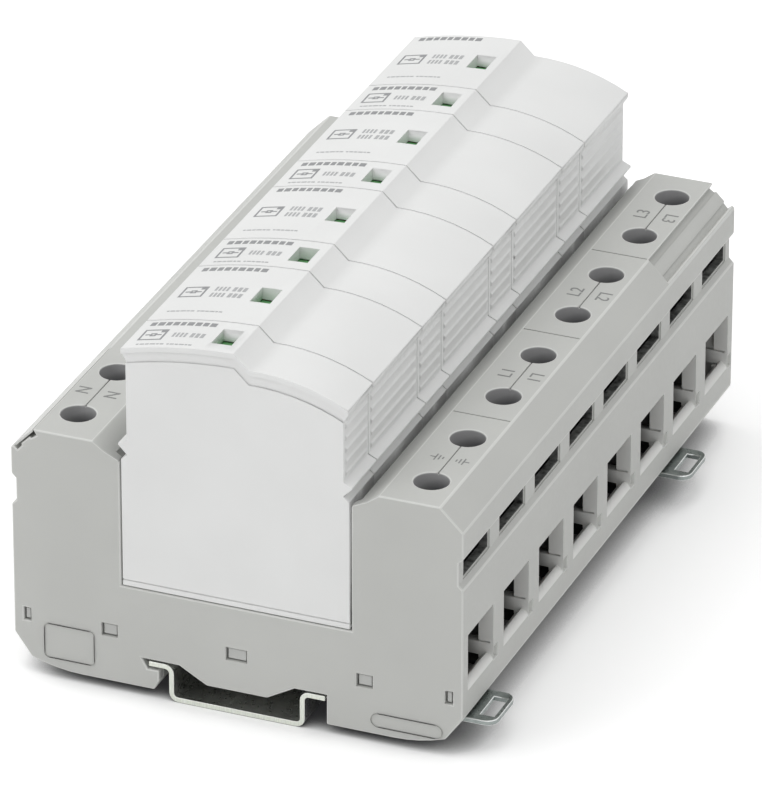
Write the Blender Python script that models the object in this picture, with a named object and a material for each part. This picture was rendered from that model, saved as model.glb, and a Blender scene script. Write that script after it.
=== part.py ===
"""Surge arrester for a DIN rail: eight plug-in arresters in one base, on a piece of top-hat rail.

Frame: X runs across the rail, with the foot latches on the +X side. Y runs along the rail, and
the face with the marker frame looks towards -Y. Z is up. The origin is the middle of the rail's
underside. All sizes are in metres.
"""

import math

import bmesh
import bpy
from mathutils import Matrix, Vector

# General
GAP = 0.0003  # clearance between two pieces that meet
OVERLAP = 0.0005  # how far a joined shape reaches into its neighbour
BEYOND = 0.001  # how far a cutter reaches past a face
ROUND_STEPS = 32  # sides of a round hole or boss
MERGE = 0.000001  # points nearer than this are one point

# Rail: a top-hat section
RAIL_WIDTH = 0.035
RAIL_HEIGHT = 0.0075
RAIL_SHEET = 0.001
RAIL_FLANGE = 0.004  # how far a flange stands out from its web
RAIL_BEND = 0.0008  # inside radius of a bend
RAIL_WEBS = RAIL_WIDTH - 2 * RAIL_FLANGE  # over the outside of the two webs

# Modules along the rail
MODULE = 0.0178
PAIRS = 4
MODULES = 2 * PAIRS
PAIR = 2 * MODULE
LENGTH = MODULE * MODULES
FRONT = -LENGTH / 2
REAR = LENGTH / 2

# Slot in the base for the rail, with a fixed hook on the left
SLOT_HALF = RAIL_WIDTH / 2 + GAP
SLOT_TOP = RAIL_HEIGHT + GAP
DIP_ROOM = 0.001  # from a web's inside to where the ceiling starts to dip
DIP_RUN = 0.0055
DIP_DROP = 0.0031
HOOK_BITE = 0.002  # how far the hook reaches under the rail
HOOK_SPARE = 0.0011  # room behind the hook, past the rail's edge
HOOK_ROOM = 0.0007
HOOK_HEIGHT = 0.0022
HOOK_TAPER = 0.001
HOOK_TOP = RAIL_HEIGHT - RAIL_SHEET - HOOK_ROOM
DIP_END = RAIL_WEBS / 2 - RAIL_SHEET - DIP_ROOM

# Heights inside the base, from the rail upwards
FLOOR_PLATE = 0.0018
BAR_LIFT = 0.0019
BAR_SHEET = 0.0015
FORK_HEIGHT = 0.007
FORK_ROOM = 0.0004
BAY_PLATE = 0.0018
FLOOR_TOP = SLOT_TOP + FLOOR_PLATE
BAR_LOW = FLOOR_TOP + BAR_LIFT
BAR_TOP = BAR_LOW + BAR_SHEET
FORK_TOP = BAR_TOP + FORK_HEIGHT
BAY_UNDER = FORK_TOP + FORK_ROOM
BAY_FLOOR = BAY_UNDER + BAY_PLATE

# Heights of a terminal, from the wire entry upwards
ENTRY_LIFT = 0.0061
ENTRY_HEIGHT = 0.0089
CAGE_SHEET = 0.0012
CAGE_ROOM = 0.0012
CAGE_NUT = 0.003
CAGE_TRAVEL = 0.0048
CAGE_LEDGE = 0.0002  # the cage and the tab stand this far clear of the entry's edges
SCREW_SPARE = 0.0042
HEAD_HEIGHT = 0.0035
BORE_DEPTH = 0.0082
ENTRY_LOW = FLOOR_TOP + ENTRY_LIFT
ENTRY_HIGH = ENTRY_LOW + ENTRY_HEIGHT
TAB_LOW = ENTRY_HIGH + CAGE_LEDGE
TAB_TOP = TAB_LOW + BAR_SHEET
CAGE_LOW = ENTRY_LOW - CAGE_LEDGE
CAGE_HIGH = TAB_TOP + CAGE_ROOM
SCREW_TIP = TAB_TOP + GAP
HEAD_LOW = CAGE_HIGH + CAGE_NUT + CAGE_TRAVEL + SCREW_SPARE
HEAD_TOP = HEAD_LOW + HEAD_HEIGHT
BLOCK_TOP = HEAD_TOP + BORE_DEPTH

# Widths, from the plug bay outwards
PLUG_HALF = 0.0224
PLUG_ROOM = 0.0004
BAY_WALL = 0.0016
LEG_ROOM = 0.0026
CAGE_SETBACK = 0.0021
CAGE_LENGTH = 0.0084
GUIDE_DEPTH = 0.0026
SIDE_WALL = 0.0029
BAY_HALF = PLUG_HALF + PLUG_ROOM
CHAMBER_IN = BAY_HALF + BAY_WALL
LEG_IN = CHAMBER_IN + LEG_ROOM
LEG_OUT = LEG_IN + BAR_SHEET
CAGE_IN = LEG_OUT + CAGE_SETBACK
CAGE_OUT = CAGE_IN + CAGE_LENGTH
CHAMBER_OUT = CAGE_OUT + GUIDE_DEPTH
BASE_HALF = CHAMBER_OUT + SIDE_WALL
TERMINAL_X = (CAGE_IN + CAGE_OUT) / 2

# Base housing
BASE_BOTTOM = 0.0017
FOOT_INSET = 0.0135  # from the side wall to the flat underside
FOOT_EDGE_INSET = 0.0034
FOOT_RISE = 0.0018
FOOT_STEPS = 4
WALL_RISE = 0.0065  # from the underside to where the side wall starts
BLOCK_CHAMFER = 0.0045
NOTCH_DROP = 0.0099  # from the block's top to the top of the long groove
NOTCH_HEIGHT = 0.0063
NOTCH_DEPTH = 0.0009
SHOULDER_RUN = 0.0052  # the slope from the block's top down to the bay
SHOULDER_KNEE = 0.003
SHOULDER_KNEE_DROP = 0.0016
SHOULDER_DROP = 0.003
RIM_GROOVE = 0.0014  # a groove along the bay's rim, open at the rear
RIM_GROOVE_DROP = 0.0012
RIM_GROOVE_LIP = 0.0002
END_WALL = 0.0018
LOWER_WALL = 0.0016
PARTITION = 0.0014
CHAMFER_SHIFT = 0.0007  # a chamber's chamfer starts this far inside the block's
CENTRE_WEB = 0.002
ROOF = 0.0032
BAY_RIM = BLOCK_TOP - SHOULDER_DROP
NOTCH_HIGH = BLOCK_TOP - NOTCH_DROP
NOTCH_LOW = NOTCH_HIGH - NOTCH_HEIGHT
FOOT_EDGE = BASE_HALF - FOOT_EDGE_INSET

# Openings in the base housing
BORE_RADIUS = 0.0033
BORE_WALL = 0.0012
BORE_SKIRT = 0.0013  # the guide tube reaches this far below the screw head
CAGE_SIDE_ROOM = 0.00225
CAGE_WIDTH = MODULE - PARTITION - 2 * CAGE_SIDE_ROOM
ENTRY_WIDTH = CAGE_WIDTH + 2 * GAP
SILL_FALL = 0.0014  # from the clamp's opening down to the crest of the entry's lower edge
SILL_SLOPE = 0.0016  # the crest falls this far to the chamber, and rounds off outwards
SILL_RUN = 0.0015
SILL_ROUND = 0.0014
SILL_STEPS = 4
SILL_TURN = math.radians(72)
CHEEK_HEIGHT = 0.0027
CHEEK_FALL = 0.0021  # from the clamp's opening down to the cheek's foot
CHEEK_DEPTH = 0.0058
CHEEK_SLIT = 0.00035
CHEEK_SLIT_SHORT = 0.0006  # the slit ends this far inside the side wall's face
VENT_MARGIN = 0.0029
VENT_HEIGHT = 0.0033
VENT_FRAME = 0.0005
VENT_FRAME_DEPTH = 0.0003
PRY_WIDTH = 0.0021
PRY_HEIGHT = 0.0028
PRY_DEPTH = 0.0008
PRY_ASIDE = 0.0002  # from the entry's rear edge
PRY_DROP = 0.0029  # from the entry's lower edge down to the recess's bottom
LINE_WIDTH = 0.0003
LINE_DEPTH = 0.0003
LINE_INSET = 0.0004

# Channel for marker strips, cut along the chamfer of a block. Places on it are measured out from
# the chamfer's top edge, and depths straight down from the chamfer's face.
MARKER_UNDERCUT = 0.0007  # reach of the slot under the block's top face
MARKER_LIP = 0.0012
MARKER_STEP = 0.0007
MARKER_BED_START = 0.0007
MARKER_BED_END = 0.00245
MARKER_BED_DEPTH = 0.001
MARKER_BED_LIP = 0.0002  # the lower groove reaches this far under the bed
MARKER_BED_STEP = 0.00035
MARKER_GROOVE = 0.00315
MARKER_GROOVE_DEPTH = 0.00165
MARKER_RIM = 0.0005  # chamfer that is left at the lower edge

# Marker strip in the left block's channel, flush with the chamfer's face
STRIP_THICKNESS = 0.0004
STRIP_START = 0.00025
STRIP_END = 0.0037

# Snap hooks of the floor, and their windows in the end walls
WINDOW_LIFT = 0.0014
WINDOW_HEIGHT = 0.0027
WINDOW_MIDDLE = 0.0042
WINDOW_INNER = 0.0032
WINDOW_OUTER = 0.0015
WINDOW_INNER_OFFSET = 0.0025  # outside the bay wall's face
WINDOW_OUTER_INSET = 0.0027  # inside the side wall's face
HOOK_ARM = 0.0012
HOOK_SINK = 0.0005
POCKET_BITE = 0.0001  # a hook's room reaches this far into the end wall
WINDOW_LOW = FLOOR_TOP + WINDOW_LIFT
WINDOW_HIGH = WINDOW_LOW + WINDOW_HEIGHT
WINDOWS = (
    (0.0, WINDOW_MIDDLE),
    (BAY_HALF + WINDOW_INNER_OFFSET, WINDOW_INNER),
    (-BAY_HALF - WINDOW_INNER_OFFSET, WINDOW_INNER),
    (BASE_HALF - WINDOW_OUTER_INSET, WINDOW_OUTER),
    (-BASE_HALF + WINDOW_OUTER_INSET, WINDOW_OUTER),
)

# Pockets that lighten the feet of the floor
POCKET_BOTTOM = 0.0027
POCKET_WALL = 0.0028
POCKET_END_WALL = 0.0028  # more wall at the ends, where the snap hooks stand

# Foot latches
LATCH_SHEET = 0.001
LATCH_WIDTH = 0.0113
LATCH_BITE = 0.0015  # how far a latch reaches under the rail
LATCH_REACH = 0.0049  # how far a latch stands out of the side wall
LATCH_JOG = 0.0008
LATCH_JOG_IN = 0.011  # from the side wall to the bend's inner end
LATCH_JOG_RUN = 0.002
LATCH_CORNER = 0.0022
LATCH_RIM = 0.0009
LATCH_HOLE = 0.0027
LATCH_HOLE_WIDTH = 0.007
LATCH_SLOT_ROOM = 0.0006
LATCH_FRONT = 0.0091  # from the front face to the first latch's middle
LATCH_REAR = 0.0316  # from the rear face to the second latch's middle
LATCH_PLACES = {"front": FRONT + LATCH_FRONT, "rear": REAR - LATCH_REAR}
LATCH_TOP = RAIL_HEIGHT - RAIL_SHEET - GAP
LATCH_LOW = LATCH_TOP - LATCH_SHEET

# Busbars and the contact blades that plug into them
BLADE_INSET = 0.0088  # from the bay's wall to a blade's middle
BLADE_WIDTH = 0.006
BLADE_SHEET = 0.001
FORK_SHEET = 0.0008
PLATE_SIDE = 0.003  # the plate's edge past the blade
PLATE_END = 0.003  # the plate's end inside its pair of modules
ARM_SIDE_ROOM = 0.0011  # between a tab's edge and the cage
BLADE_X = BAY_HALF - BLADE_INSET
ARM_WIDTH = CAGE_WIDTH - 2 * CAGE_SHEET - 2 * ARM_SIDE_ROOM
TAB_SHORT = 0.0004  # the tab ends this far inside the cage

# Terminal screws
SHANK_RADIUS = 0.0025
SCREW_CHAMFER = 0.0004
SCREW_STEPS = 16
DRIVE_WIDTH = 0.0009
DRIVE_LENGTH = 0.0042
DRIVE_DEPTH = 0.0014

# Plugs
NARROW = 0.01187
SEAM = 0.0003
PLUG_RIM_LIFT = 0.0005  # the plug's lower body ends this far above the bay's rim
PLUG_END_WALL = 0.0012
PLUG_ROOF = 0.0017
NECK_INSET = 0.001
NECK_SLOPE = 0.0008
NECK_HEIGHT = 0.0011
KNOB_LOW = 0.0027
KNOB_HIGH = 0.0031
KNOB_TOP = 0.0039
KNOB_PROUD = 0.0006
BODY_INSET = 0.0011
LIP_INSET = 0.0002
LIP_HEIGHT = 0.0011
LIP_SLOPE = 0.0014
BAND_HEIGHT = 0.002
BAND_DEPTH = 0.0003
FACE_LINE_LIFT = 0.0012  # a thin line across each face, above the plug's bottom
CORE_WALL = 0.0014
PLUG_BOTTOM = BAY_FLOOR + GAP
PLUG_SHOULDER = BAY_RIM + PLUG_RIM_LIFT
NECK_HALF = PLUG_HALF - NECK_INSET
BODY_HALF = PLUG_HALF - BODY_INSET
LIP_HALF = PLUG_HALF - LIP_INSET
CORE_HALF = NECK_HALF - CORE_WALL

# Roof line of a plug: heights above its shoulder, and the two ends of the step in it
ROOF_LEFT = 0.0226
ROOF_LEFT_MIDDLE = 0.0249
ROOF_PEAK = 0.0258
ROOF_STEP = 0.0230
ROOF_RIGHT_MIDDLE = 0.0221
ROOF_RIGHT = 0.0186
PEAK_X = 0.0
STEP_X = 0.0029
ROOF_STEPS = 7

# Grip ribs on the ends of a plug
RIBS = 5
RIB_FIRST = 0.0052  # above the plug's shoulder
RIB_PITCH = 0.0024
RIB_HEIGHT = 0.0013
RIB_FACE = 0.0005  # height of a rib's outer face
RIB_PROUD = 0.0003
RIB_SINK = 0.0002  # how far a rib reaches into the end's face
RIB_MARGIN = 0.0009

# Status window and flag of a plug
WINDOW_X = -0.0036
WINDOW_LENGTH = 0.004
WINDOW_WIDTH = 0.006
WINDOW_WALL = 0.0008  # wall of the shaft from the window down to the flag
FLAG_DEPTH = 0.0028
FLAG_SHEET = 0.0008
FLAG_OVERLAP = 0.0003
FLAG_TRAVEL = 0.004

# Arrester element inside a plug
INSERT_PLATE = 0.0015
ELEMENT_INSET = 0.0033
ELEMENT_HEIGHT = 0.012  # above the plug's shoulder
TOWER_PAST_PEAK = 0.0016
TOWER_LEFT = WINDOW_LENGTH / 2 - WINDOW_X + FLAG_OVERLAP + FLAG_TRAVEL + GAP

# Colours (linear), roughness and metallic value
MATERIALS = {
    "grey_plastic": ((0.45, 0.46, 0.44), 0.55, 0.0),
    "floor_plastic": ((0.42, 0.43, 0.41), 0.6, 0.0),
    "white_plastic": ((0.80, 0.80, 0.80), 0.45, 0.0),
    "green_flag": ((0.18, 0.50, 0.22), 0.5, 0.0),
    "zinc_steel": ((0.60, 0.62, 0.60), 0.3, 1.0),
    "copper": ((0.72, 0.42, 0.30), 0.35, 1.0),
    "dark_ceramic": ((0.10, 0.13, 0.20), 0.6, 0.0),
}


def clear_scene():
    for obj in list(bpy.data.objects):
        bpy.data.objects.remove(obj, do_unlink=True)


def material(name):
    """The named Principled material, made once."""
    found = bpy.data.materials.get(name)
    if found:
        return found
    colour, roughness, metallic = MATERIALS[name]
    made = bpy.data.materials.new(name)
    made.use_nodes = True
    shader = made.node_tree.nodes["Principled BSDF"]
    shader.inputs["Base Color"].default_value = (*colour, 1.0)
    shader.inputs["Roughness"].default_value = roughness
    shader.inputs["Metallic"].default_value = metallic
    return made


def link(name, mesh, location=(0.0, 0.0, 0.0)):
    obj = bpy.data.objects.new(name, mesh)
    obj.location = location
    bpy.context.scene.collection.objects.link(obj)
    return obj


def make_object(name, bm, finish=None, origin=(0.0, 0.0, 0.0)):
    """Turn a bmesh drawn in world places into an object whose origin is at the given point."""
    bmesh.ops.translate(bm, verts=bm.verts, vec=-Vector(origin))
    bmesh.ops.recalc_face_normals(bm, faces=bm.faces)
    mesh = bpy.data.meshes.new(name)
    bm.to_mesh(mesh)
    bm.free()
    if finish:
        mesh.materials.append(material(finish))
    return link(name, mesh, origin)


def shape(obj, operation, bm, label):
    """Add a live Boolean to obj, with the shapes in bm as its hidden helper."""
    helper = make_object(f"{obj.name}_{label}", bm)
    helper.hide_render = True
    helper.display_type = "WIRE"
    modifier = obj.modifiers.new(label, "BOOLEAN")
    modifier.operation = operation
    modifier.solver = "EXACT"
    modifier.object = helper


def settled_mesh(obj):
    """The mesh of obj with its Booleans applied. It removes obj and its helpers."""
    bpy.context.view_layer.update()
    graph = bpy.context.evaluated_depsgraph_get()
    mesh = bpy.data.meshes.new_from_object(obj.evaluated_get(graph))
    helpers = [modifier.object for modifier in obj.modifiers]
    for each in [obj, *helpers]:
        bpy.data.objects.remove(each, do_unlink=True)
    return mesh


def smooth(obj_or_mesh, angle=35):
    mesh = getattr(obj_or_mesh, "data", obj_or_mesh)
    mesh.shade_smooth()
    mesh.set_sharp_from_angle(angle=math.radians(angle))


def add_prism(bm, outline, axis, start, end):
    """Carry an outline along an axis. Its points are (x, z) for Y, (y, z) for X and (x, y) for Z."""
    place = {
        "X": lambda a, b: (start, a, b),
        "Y": lambda a, b: (a, start, b),
        "Z": lambda a, b: (a, b, start),
    }[axis]
    along = Vector([end - start if axis == name else 0.0 for name in "XYZ"])
    ring = [bm.verts.new(place(a, b)) for a, b in outline]
    grown = bmesh.ops.extrude_face_region(bm, geom=[bm.faces.new(ring)])
    moved = [item for item in grown["geom"] if isinstance(item, bmesh.types.BMVert)]
    bmesh.ops.translate(bm, verts=moved, vec=along)


def add_box(bm, x, y, z):
    """Add a box from (low, high) pairs along each axis."""
    middle = Vector([(low + high) / 2 for low, high in (x, y, z)])
    size = Vector([high - low for low, high in (x, y, z)])
    matrix = Matrix.Translation(middle) @ Matrix.Diagonal((*size, 1.0))
    bmesh.ops.create_cube(bm, size=1.0, matrix=matrix)


def add_cylinder(bm, x, y, z, radius):
    """Add an upright cylinder with z as its (low, high) pair."""
    low, high = z
    bmesh.ops.create_cone(
        bm,
        cap_ends=True,
        segments=ROUND_STEPS,
        radius1=radius,
        radius2=radius,
        depth=high - low,
        matrix=Matrix.Translation((x, y, (low + high) / 2)),
    )


def about(middle, width):
    return (middle - width / 2, middle + width / 2)


def mirrored(outline):
    return [(-x, z) for x, z in outline]


def side_span(sign, low, high):
    """A (low, high) pair of distances from the middle, on the side that sign gives."""
    return tuple(sorted((sign * low, sign * high)))


def arc_through(first, middle, last, steps):
    """Points on the circle through three points, from first to last."""
    (ax, ay), (bx, by), (cx, cy) = first, middle, last
    twice = 2 * (ax * (by - cy) + bx * (cy - ay) + cx * (ay - by))
    sa, sb, sc = ax**2 + ay**2, bx**2 + by**2, cx**2 + cy**2
    ux = (sa * (by - cy) + sb * (cy - ay) + sc * (ay - by)) / twice
    uy = (sa * (cx - bx) + sb * (ax - cx) + sc * (bx - ax)) / twice
    radius = math.hypot(ax - ux, ay - uy)
    start = math.atan2(ay - uy, ax - ux)
    turn = math.atan2(cy - uy, cx - ux) - start
    angles = [start + turn * step / steps for step in range(steps + 1)]
    return [(ux + radius * math.cos(a), uy + radius * math.sin(a)) for a in angles]


def rounded(corners, steps=4):
    """Outline from (x, z, radius) corners, with each radius above nothing turned into an arc."""
    outline = []
    count = len(corners)
    for index, (x, z, radius) in enumerate(corners):
        here = Vector((x, z))
        before = (Vector(corners[index - 1][:2]) - here).normalized()
        after = (Vector(corners[(index + 1) % count][:2]) - here).normalized()
        if radius <= 0:
            outline.append((x, z))
            continue
        half = before.angle(after) / 2
        centre = here + (before + after).normalized() * radius / math.sin(half)
        first = (here + before * radius / math.tan(half) - centre).normalized()
        last = (here + after * radius / math.tan(half) - centre).normalized()
        for step in range(steps + 1):
            outline.append(tuple(centre + radius * first.slerp(last, step / steps)))
    return outline


def module_middle(index):
    return FRONT + (index + 0.5) * MODULE


def module_span(index):
    """The (low, high) pair of a module's chamber between its partitions or end wall."""
    low = FRONT + index * MODULE + (END_WALL if index == 0 else PARTITION / 2)
    last = index == MODULES - 1
    high = FRONT + (index + 1) * MODULE - (END_WALL if last else PARTITION / 2)
    return (low, high)


def terminals():
    """(name, side, y) of each terminal: a pair for each line on the right, and N on the left."""
    found = []
    for pair, line in enumerate(("pe", "l1", "l2", "l3")):
        for place in (0, 1):
            found.append((f"{line}_{place + 1}", 1, module_middle(2 * pair + place)))
    for place in (0, 1):
        found.append((f"n_{place + 1}", -1, module_middle(place)))
    return found


def plugs():
    """(low, high) along Y of each plug, narrow and wide in turn."""
    found = []
    for pair in range(PAIRS):
        start = FRONT + pair * PAIR
        found.append((start, start + NARROW))
        found.append((start + NARROW, start + PAIR))
    return found


def foot_height(x):
    """Height of the chamfer under the side wall at a distance x from the middle."""
    slope = (WALL_RISE - FOOT_RISE) / FOOT_EDGE_INSET
    return BASE_BOTTOM + FOOT_RISE + (x - FOOT_EDGE) * slope


def slot_outline():
    """The rail slot from the right foot to the left foot, round its hook."""
    nose = RAIL_WIDTH / 2 - HOOK_BITE
    return [
        (SLOT_HALF, BASE_BOTTOM),
        (SLOT_HALF, SLOT_TOP),
        (DIP_END, SLOT_TOP),
        (DIP_END - DIP_RUN, SLOT_TOP - DIP_DROP),
        (-DIP_END + DIP_RUN, SLOT_TOP - DIP_DROP),
        (-DIP_END, SLOT_TOP),
        (-SLOT_HALF - HOOK_SPARE, SLOT_TOP),
        (-SLOT_HALF, HOOK_TOP),
        (-nose, HOOK_TOP),
        (-nose, HOOK_TOP - HOOK_HEIGHT),
        (-nose - HOOK_TAPER, BASE_BOTTOM),
    ]


def foot_outline():
    """Underside of the right foot: it curves up from the flat to the chamfer's lower end."""
    run = FOOT_INSET - FOOT_EDGE_INSET
    shares = [step / FOOT_STEPS for step in range(FOOT_STEPS + 1)]
    return [(FOOT_EDGE - run * (1 - s), BASE_BOTTOM + FOOT_RISE * s**2) for s in shares]


def housing_outline():
    """End face of the base housing."""
    right = foot_outline() + [
        (BASE_HALF, BASE_BOTTOM + WALL_RISE),
        (BASE_HALF, NOTCH_LOW),
        (BASE_HALF - NOTCH_DEPTH, NOTCH_LOW + NOTCH_DEPTH),
        (BASE_HALF - NOTCH_DEPTH, NOTCH_HIGH - NOTCH_DEPTH),
        (BASE_HALF, NOTCH_HIGH),
        (BASE_HALF, BLOCK_TOP - BLOCK_CHAMFER),
        (BASE_HALF - BLOCK_CHAMFER, BLOCK_TOP),
        (BAY_HALF + SHOULDER_RUN, BLOCK_TOP),
        (BAY_HALF + SHOULDER_KNEE, BLOCK_TOP - SHOULDER_KNEE_DROP),
        (BAY_HALF, BAY_RIM),
        (BAY_HALF, BAY_FLOOR),
    ]
    return right + mirrored(right[::-1]) + slot_outline()[::-1]


def chamber_outline():
    """Section of the room for a clamp on the right, up to the roof of the block."""
    low = FLOOR_TOP - OVERLAP
    top = BLOCK_TOP - ROOF
    chamfer = BASE_HALF - BLOCK_CHAMFER - CHAMFER_SHIFT
    return [
        (CHAMBER_IN, low),
        (CHAMBER_OUT, low),
        (CHAMBER_OUT, top - (CHAMBER_OUT - chamfer)),
        (chamfer, top),
        (BAY_HALF + SHOULDER_RUN, top),
        (CHAMBER_IN, BAY_RIM - ROOF),
    ]


def on_chamfer(out, depth=0.0):
    """The point at a distance out from the right chamfer's top edge, and a depth below its face."""
    return (BASE_HALF - BLOCK_CHAMFER + out, BLOCK_TOP - out - depth)


def marker_outline():
    """Section of the marker channel's cutter on the right block."""
    x, z = on_chamfer(0.0)
    rim = on_chamfer(BLOCK_CHAMFER - MARKER_RIM)
    groove = on_chamfer(MARKER_GROOVE, MARKER_GROOVE_DEPTH)
    under_bed = MARKER_BED_DEPTH + MARKER_BED_STEP - MARKER_BED_LIP
    past = (2 * rim[0] - groove[0], 2 * rim[1] - groove[1])
    return [
        (x, z),
        (x - MARKER_UNDERCUT, z - MARKER_LIP),
        (x + GAP, z - MARKER_LIP - MARKER_STEP),
        on_chamfer(MARKER_BED_START, MARKER_BED_DEPTH),
        on_chamfer(MARKER_BED_END, MARKER_BED_DEPTH),
        on_chamfer(MARKER_BED_END - MARKER_BED_LIP, under_bed + 2 * MARKER_BED_LIP),
        groove,
        past,
        (past[0], z + BEYOND),
        (x, z + BEYOND),
    ]


def rim_groove_outline():
    """Section of the groove's cutter along the bay's rim on the right."""
    slope = (SHOULDER_DROP - SHOULDER_KNEE_DROP) / SHOULDER_KNEE
    edge = BAY_HALF + RIM_GROOVE
    return [
        (BAY_HALF - OVERLAP, BAY_RIM - RIM_GROOVE_DROP),
        (BAY_HALF, BAY_RIM - RIM_GROOVE_DROP),
        (edge, BAY_RIM + RIM_GROOVE * slope - RIM_GROOVE_LIP),
        (edge, BLOCK_TOP),
        (BAY_HALF - OVERLAP, BLOCK_TOP),
    ]


def hollow_base_housing(housing):
    """Room for the floor, a chamber for each module and the cells for the busbars."""
    under = bmesh.new()
    inside = (FRONT + END_WALL, REAR - END_WALL)
    lower_half = BASE_HALF - LOWER_WALL
    add_box(under, (-lower_half, lower_half), inside, (-BEYOND, FLOOR_TOP + GAP))
    shape(housing, "DIFFERENCE", under, "underside")

    rooms = bmesh.new()
    for index in range(MODULES):
        low, high = module_span(index)
        add_prism(rooms, chamber_outline(), "Y", low, high)
        add_prism(rooms, mirrored(chamber_outline()), "Y", low, high)
    heights = (FLOOR_TOP - OVERLAP, BAY_UNDER)
    for pair in range(PAIRS):
        low = module_span(2 * pair)[0]
        high = module_span(2 * pair + 1)[1]
        add_box(rooms, (CENTRE_WEB / 2, BAY_HALF), (low, high), heights)
    add_box(rooms, (-BAY_HALF, -CENTRE_WEB / 2), inside, heights)
    shape(housing, "DIFFERENCE", rooms, "rooms")


def add_terminal_guides(housing):
    """Guide tube of each screw, and the cheek that leads a wire into its clamp."""
    guides = bmesh.new()
    for _, side, y in terminals():
        x = side * TERMINAL_X
        tube = (HEAD_LOW - BORE_SKIRT, BLOCK_TOP - ROOF + OVERLAP)
        add_cylinder(guides, x, y, tube, BORE_RADIUS + BORE_WALL)
        cheek_x = side_span(side, CHAMBER_OUT - CHEEK_DEPTH, CHAMBER_OUT + OVERLAP)
        cheek_y = (y + ENTRY_WIDTH / 2, y + MODULE / 2 - PARTITION / 2 + OVERLAP)
        cheek_low = ENTRY_LOW - CHEEK_FALL
        add_box(guides, cheek_x, cheek_y, (cheek_low, cheek_low + CHEEK_HEIGHT))
    shape(housing, "UNION", guides, "guides")


def entry_outline():
    """Section of a wire entry's cutter: level at the top, with a crest along its lower edge."""
    inner = CHAMBER_OUT - OVERLAP
    outer = BASE_HALF + OVERLAP
    crest = ENTRY_LOW - SILL_FALL
    x, z = CHAMBER_OUT + SILL_RUN, crest - SILL_ROUND
    turns = [SILL_TURN * step / SILL_STEPS for step in range(SILL_STEPS + 1)]
    sill = [(x + SILL_ROUND * math.sin(a), z + SILL_ROUND * math.cos(a)) for a in turns]
    end_x, end_z = sill[-1]
    outer_low = end_z - (outer - end_x) * math.tan(SILL_TURN)
    return [
        (inner, crest - SILL_SLOPE),
        (CHAMBER_OUT, crest - SILL_SLOPE),
        *sill,
        (outer, outer_low),
        (outer, ENTRY_HIGH),
        (inner, ENTRY_HIGH),
    ]


def open_base_housing(housing):
    """Everything that goes through a wall of the base housing."""
    holes = bmesh.new()
    arm_high = BAR_TOP + GAP
    vent_z = about((NOTCH_LOW + NOTCH_HIGH) / 2, VENT_HEIGHT)
    vent_width = MODULE - 2 * VENT_MARGIN
    for _, side, y in terminals():
        bore = (HEAD_LOW - BORE_SKIRT - BEYOND, BLOCK_TOP + BEYOND)
        add_cylinder(holes, side * TERMINAL_X, y, bore, BORE_RADIUS)
        entry = entry_outline() if side > 0 else mirrored(entry_outline())
        add_prism(holes, entry, "Y", *about(y, ENTRY_WIDTH))
        vent_x = side_span(side, CHAMBER_OUT - OVERLAP, BASE_HALF + BEYOND)
        add_box(holes, vent_x, about(y, vent_width), vent_z)
        arm_x = side_span(side, BAY_HALF - OVERLAP, CHAMBER_IN + OVERLAP)
        add_box(holes, arm_x, about(y, ARM_WIDTH + 2 * GAP), (FLOOR_TOP, arm_high))
    for low, high in plugs():
        for side in (-1, 1):
            slot_x = about(side * BLADE_X, BLADE_WIDTH + 2 * GAP)
            slot_y = about((low + high) / 2, BLADE_SHEET + 2 * GAP)
            add_box(holes, slot_x, slot_y, (BAY_UNDER - BEYOND, BAY_FLOOR + BEYOND))
    pocket_z = (FLOOR_TOP, WINDOW_HIGH)
    pocket_end = END_WALL + HOOK_ARM + 2 * GAP
    for x, width in WINDOWS:
        for low, high in ((FRONT - BEYOND, FRONT + END_WALL), (REAR - END_WALL, REAR + BEYOND)):
            add_box(holes, about(x, width), (low, high), (WINDOW_LOW, WINDOW_HIGH))
    shape(housing, "DIFFERENCE", holes, "holes")

    pockets = bmesh.new()
    for x, width in WINDOWS:
        ends = (
            (FRONT + END_WALL - POCKET_BITE, FRONT + pocket_end),
            (REAR - pocket_end, REAR - END_WALL + POCKET_BITE),
        )
        for low, high in ends:
            add_box(pockets, about(x, width), (low, high), pocket_z)
    latch_x = (BASE_HALF - LOWER_WALL - OVERLAP, BASE_HALF + BEYOND)
    latch_z = (BASE_BOTTOM, LATCH_TOP + LATCH_JOG + LATCH_SLOT_ROOM)
    for y in LATCH_PLACES.values():
        width = LATCH_WIDTH + 2 * LATCH_SLOT_ROOM
        add_box(pockets, latch_x, about(y, width), latch_z)
    shape(housing, "DIFFERENCE", pockets, "pockets")


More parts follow.
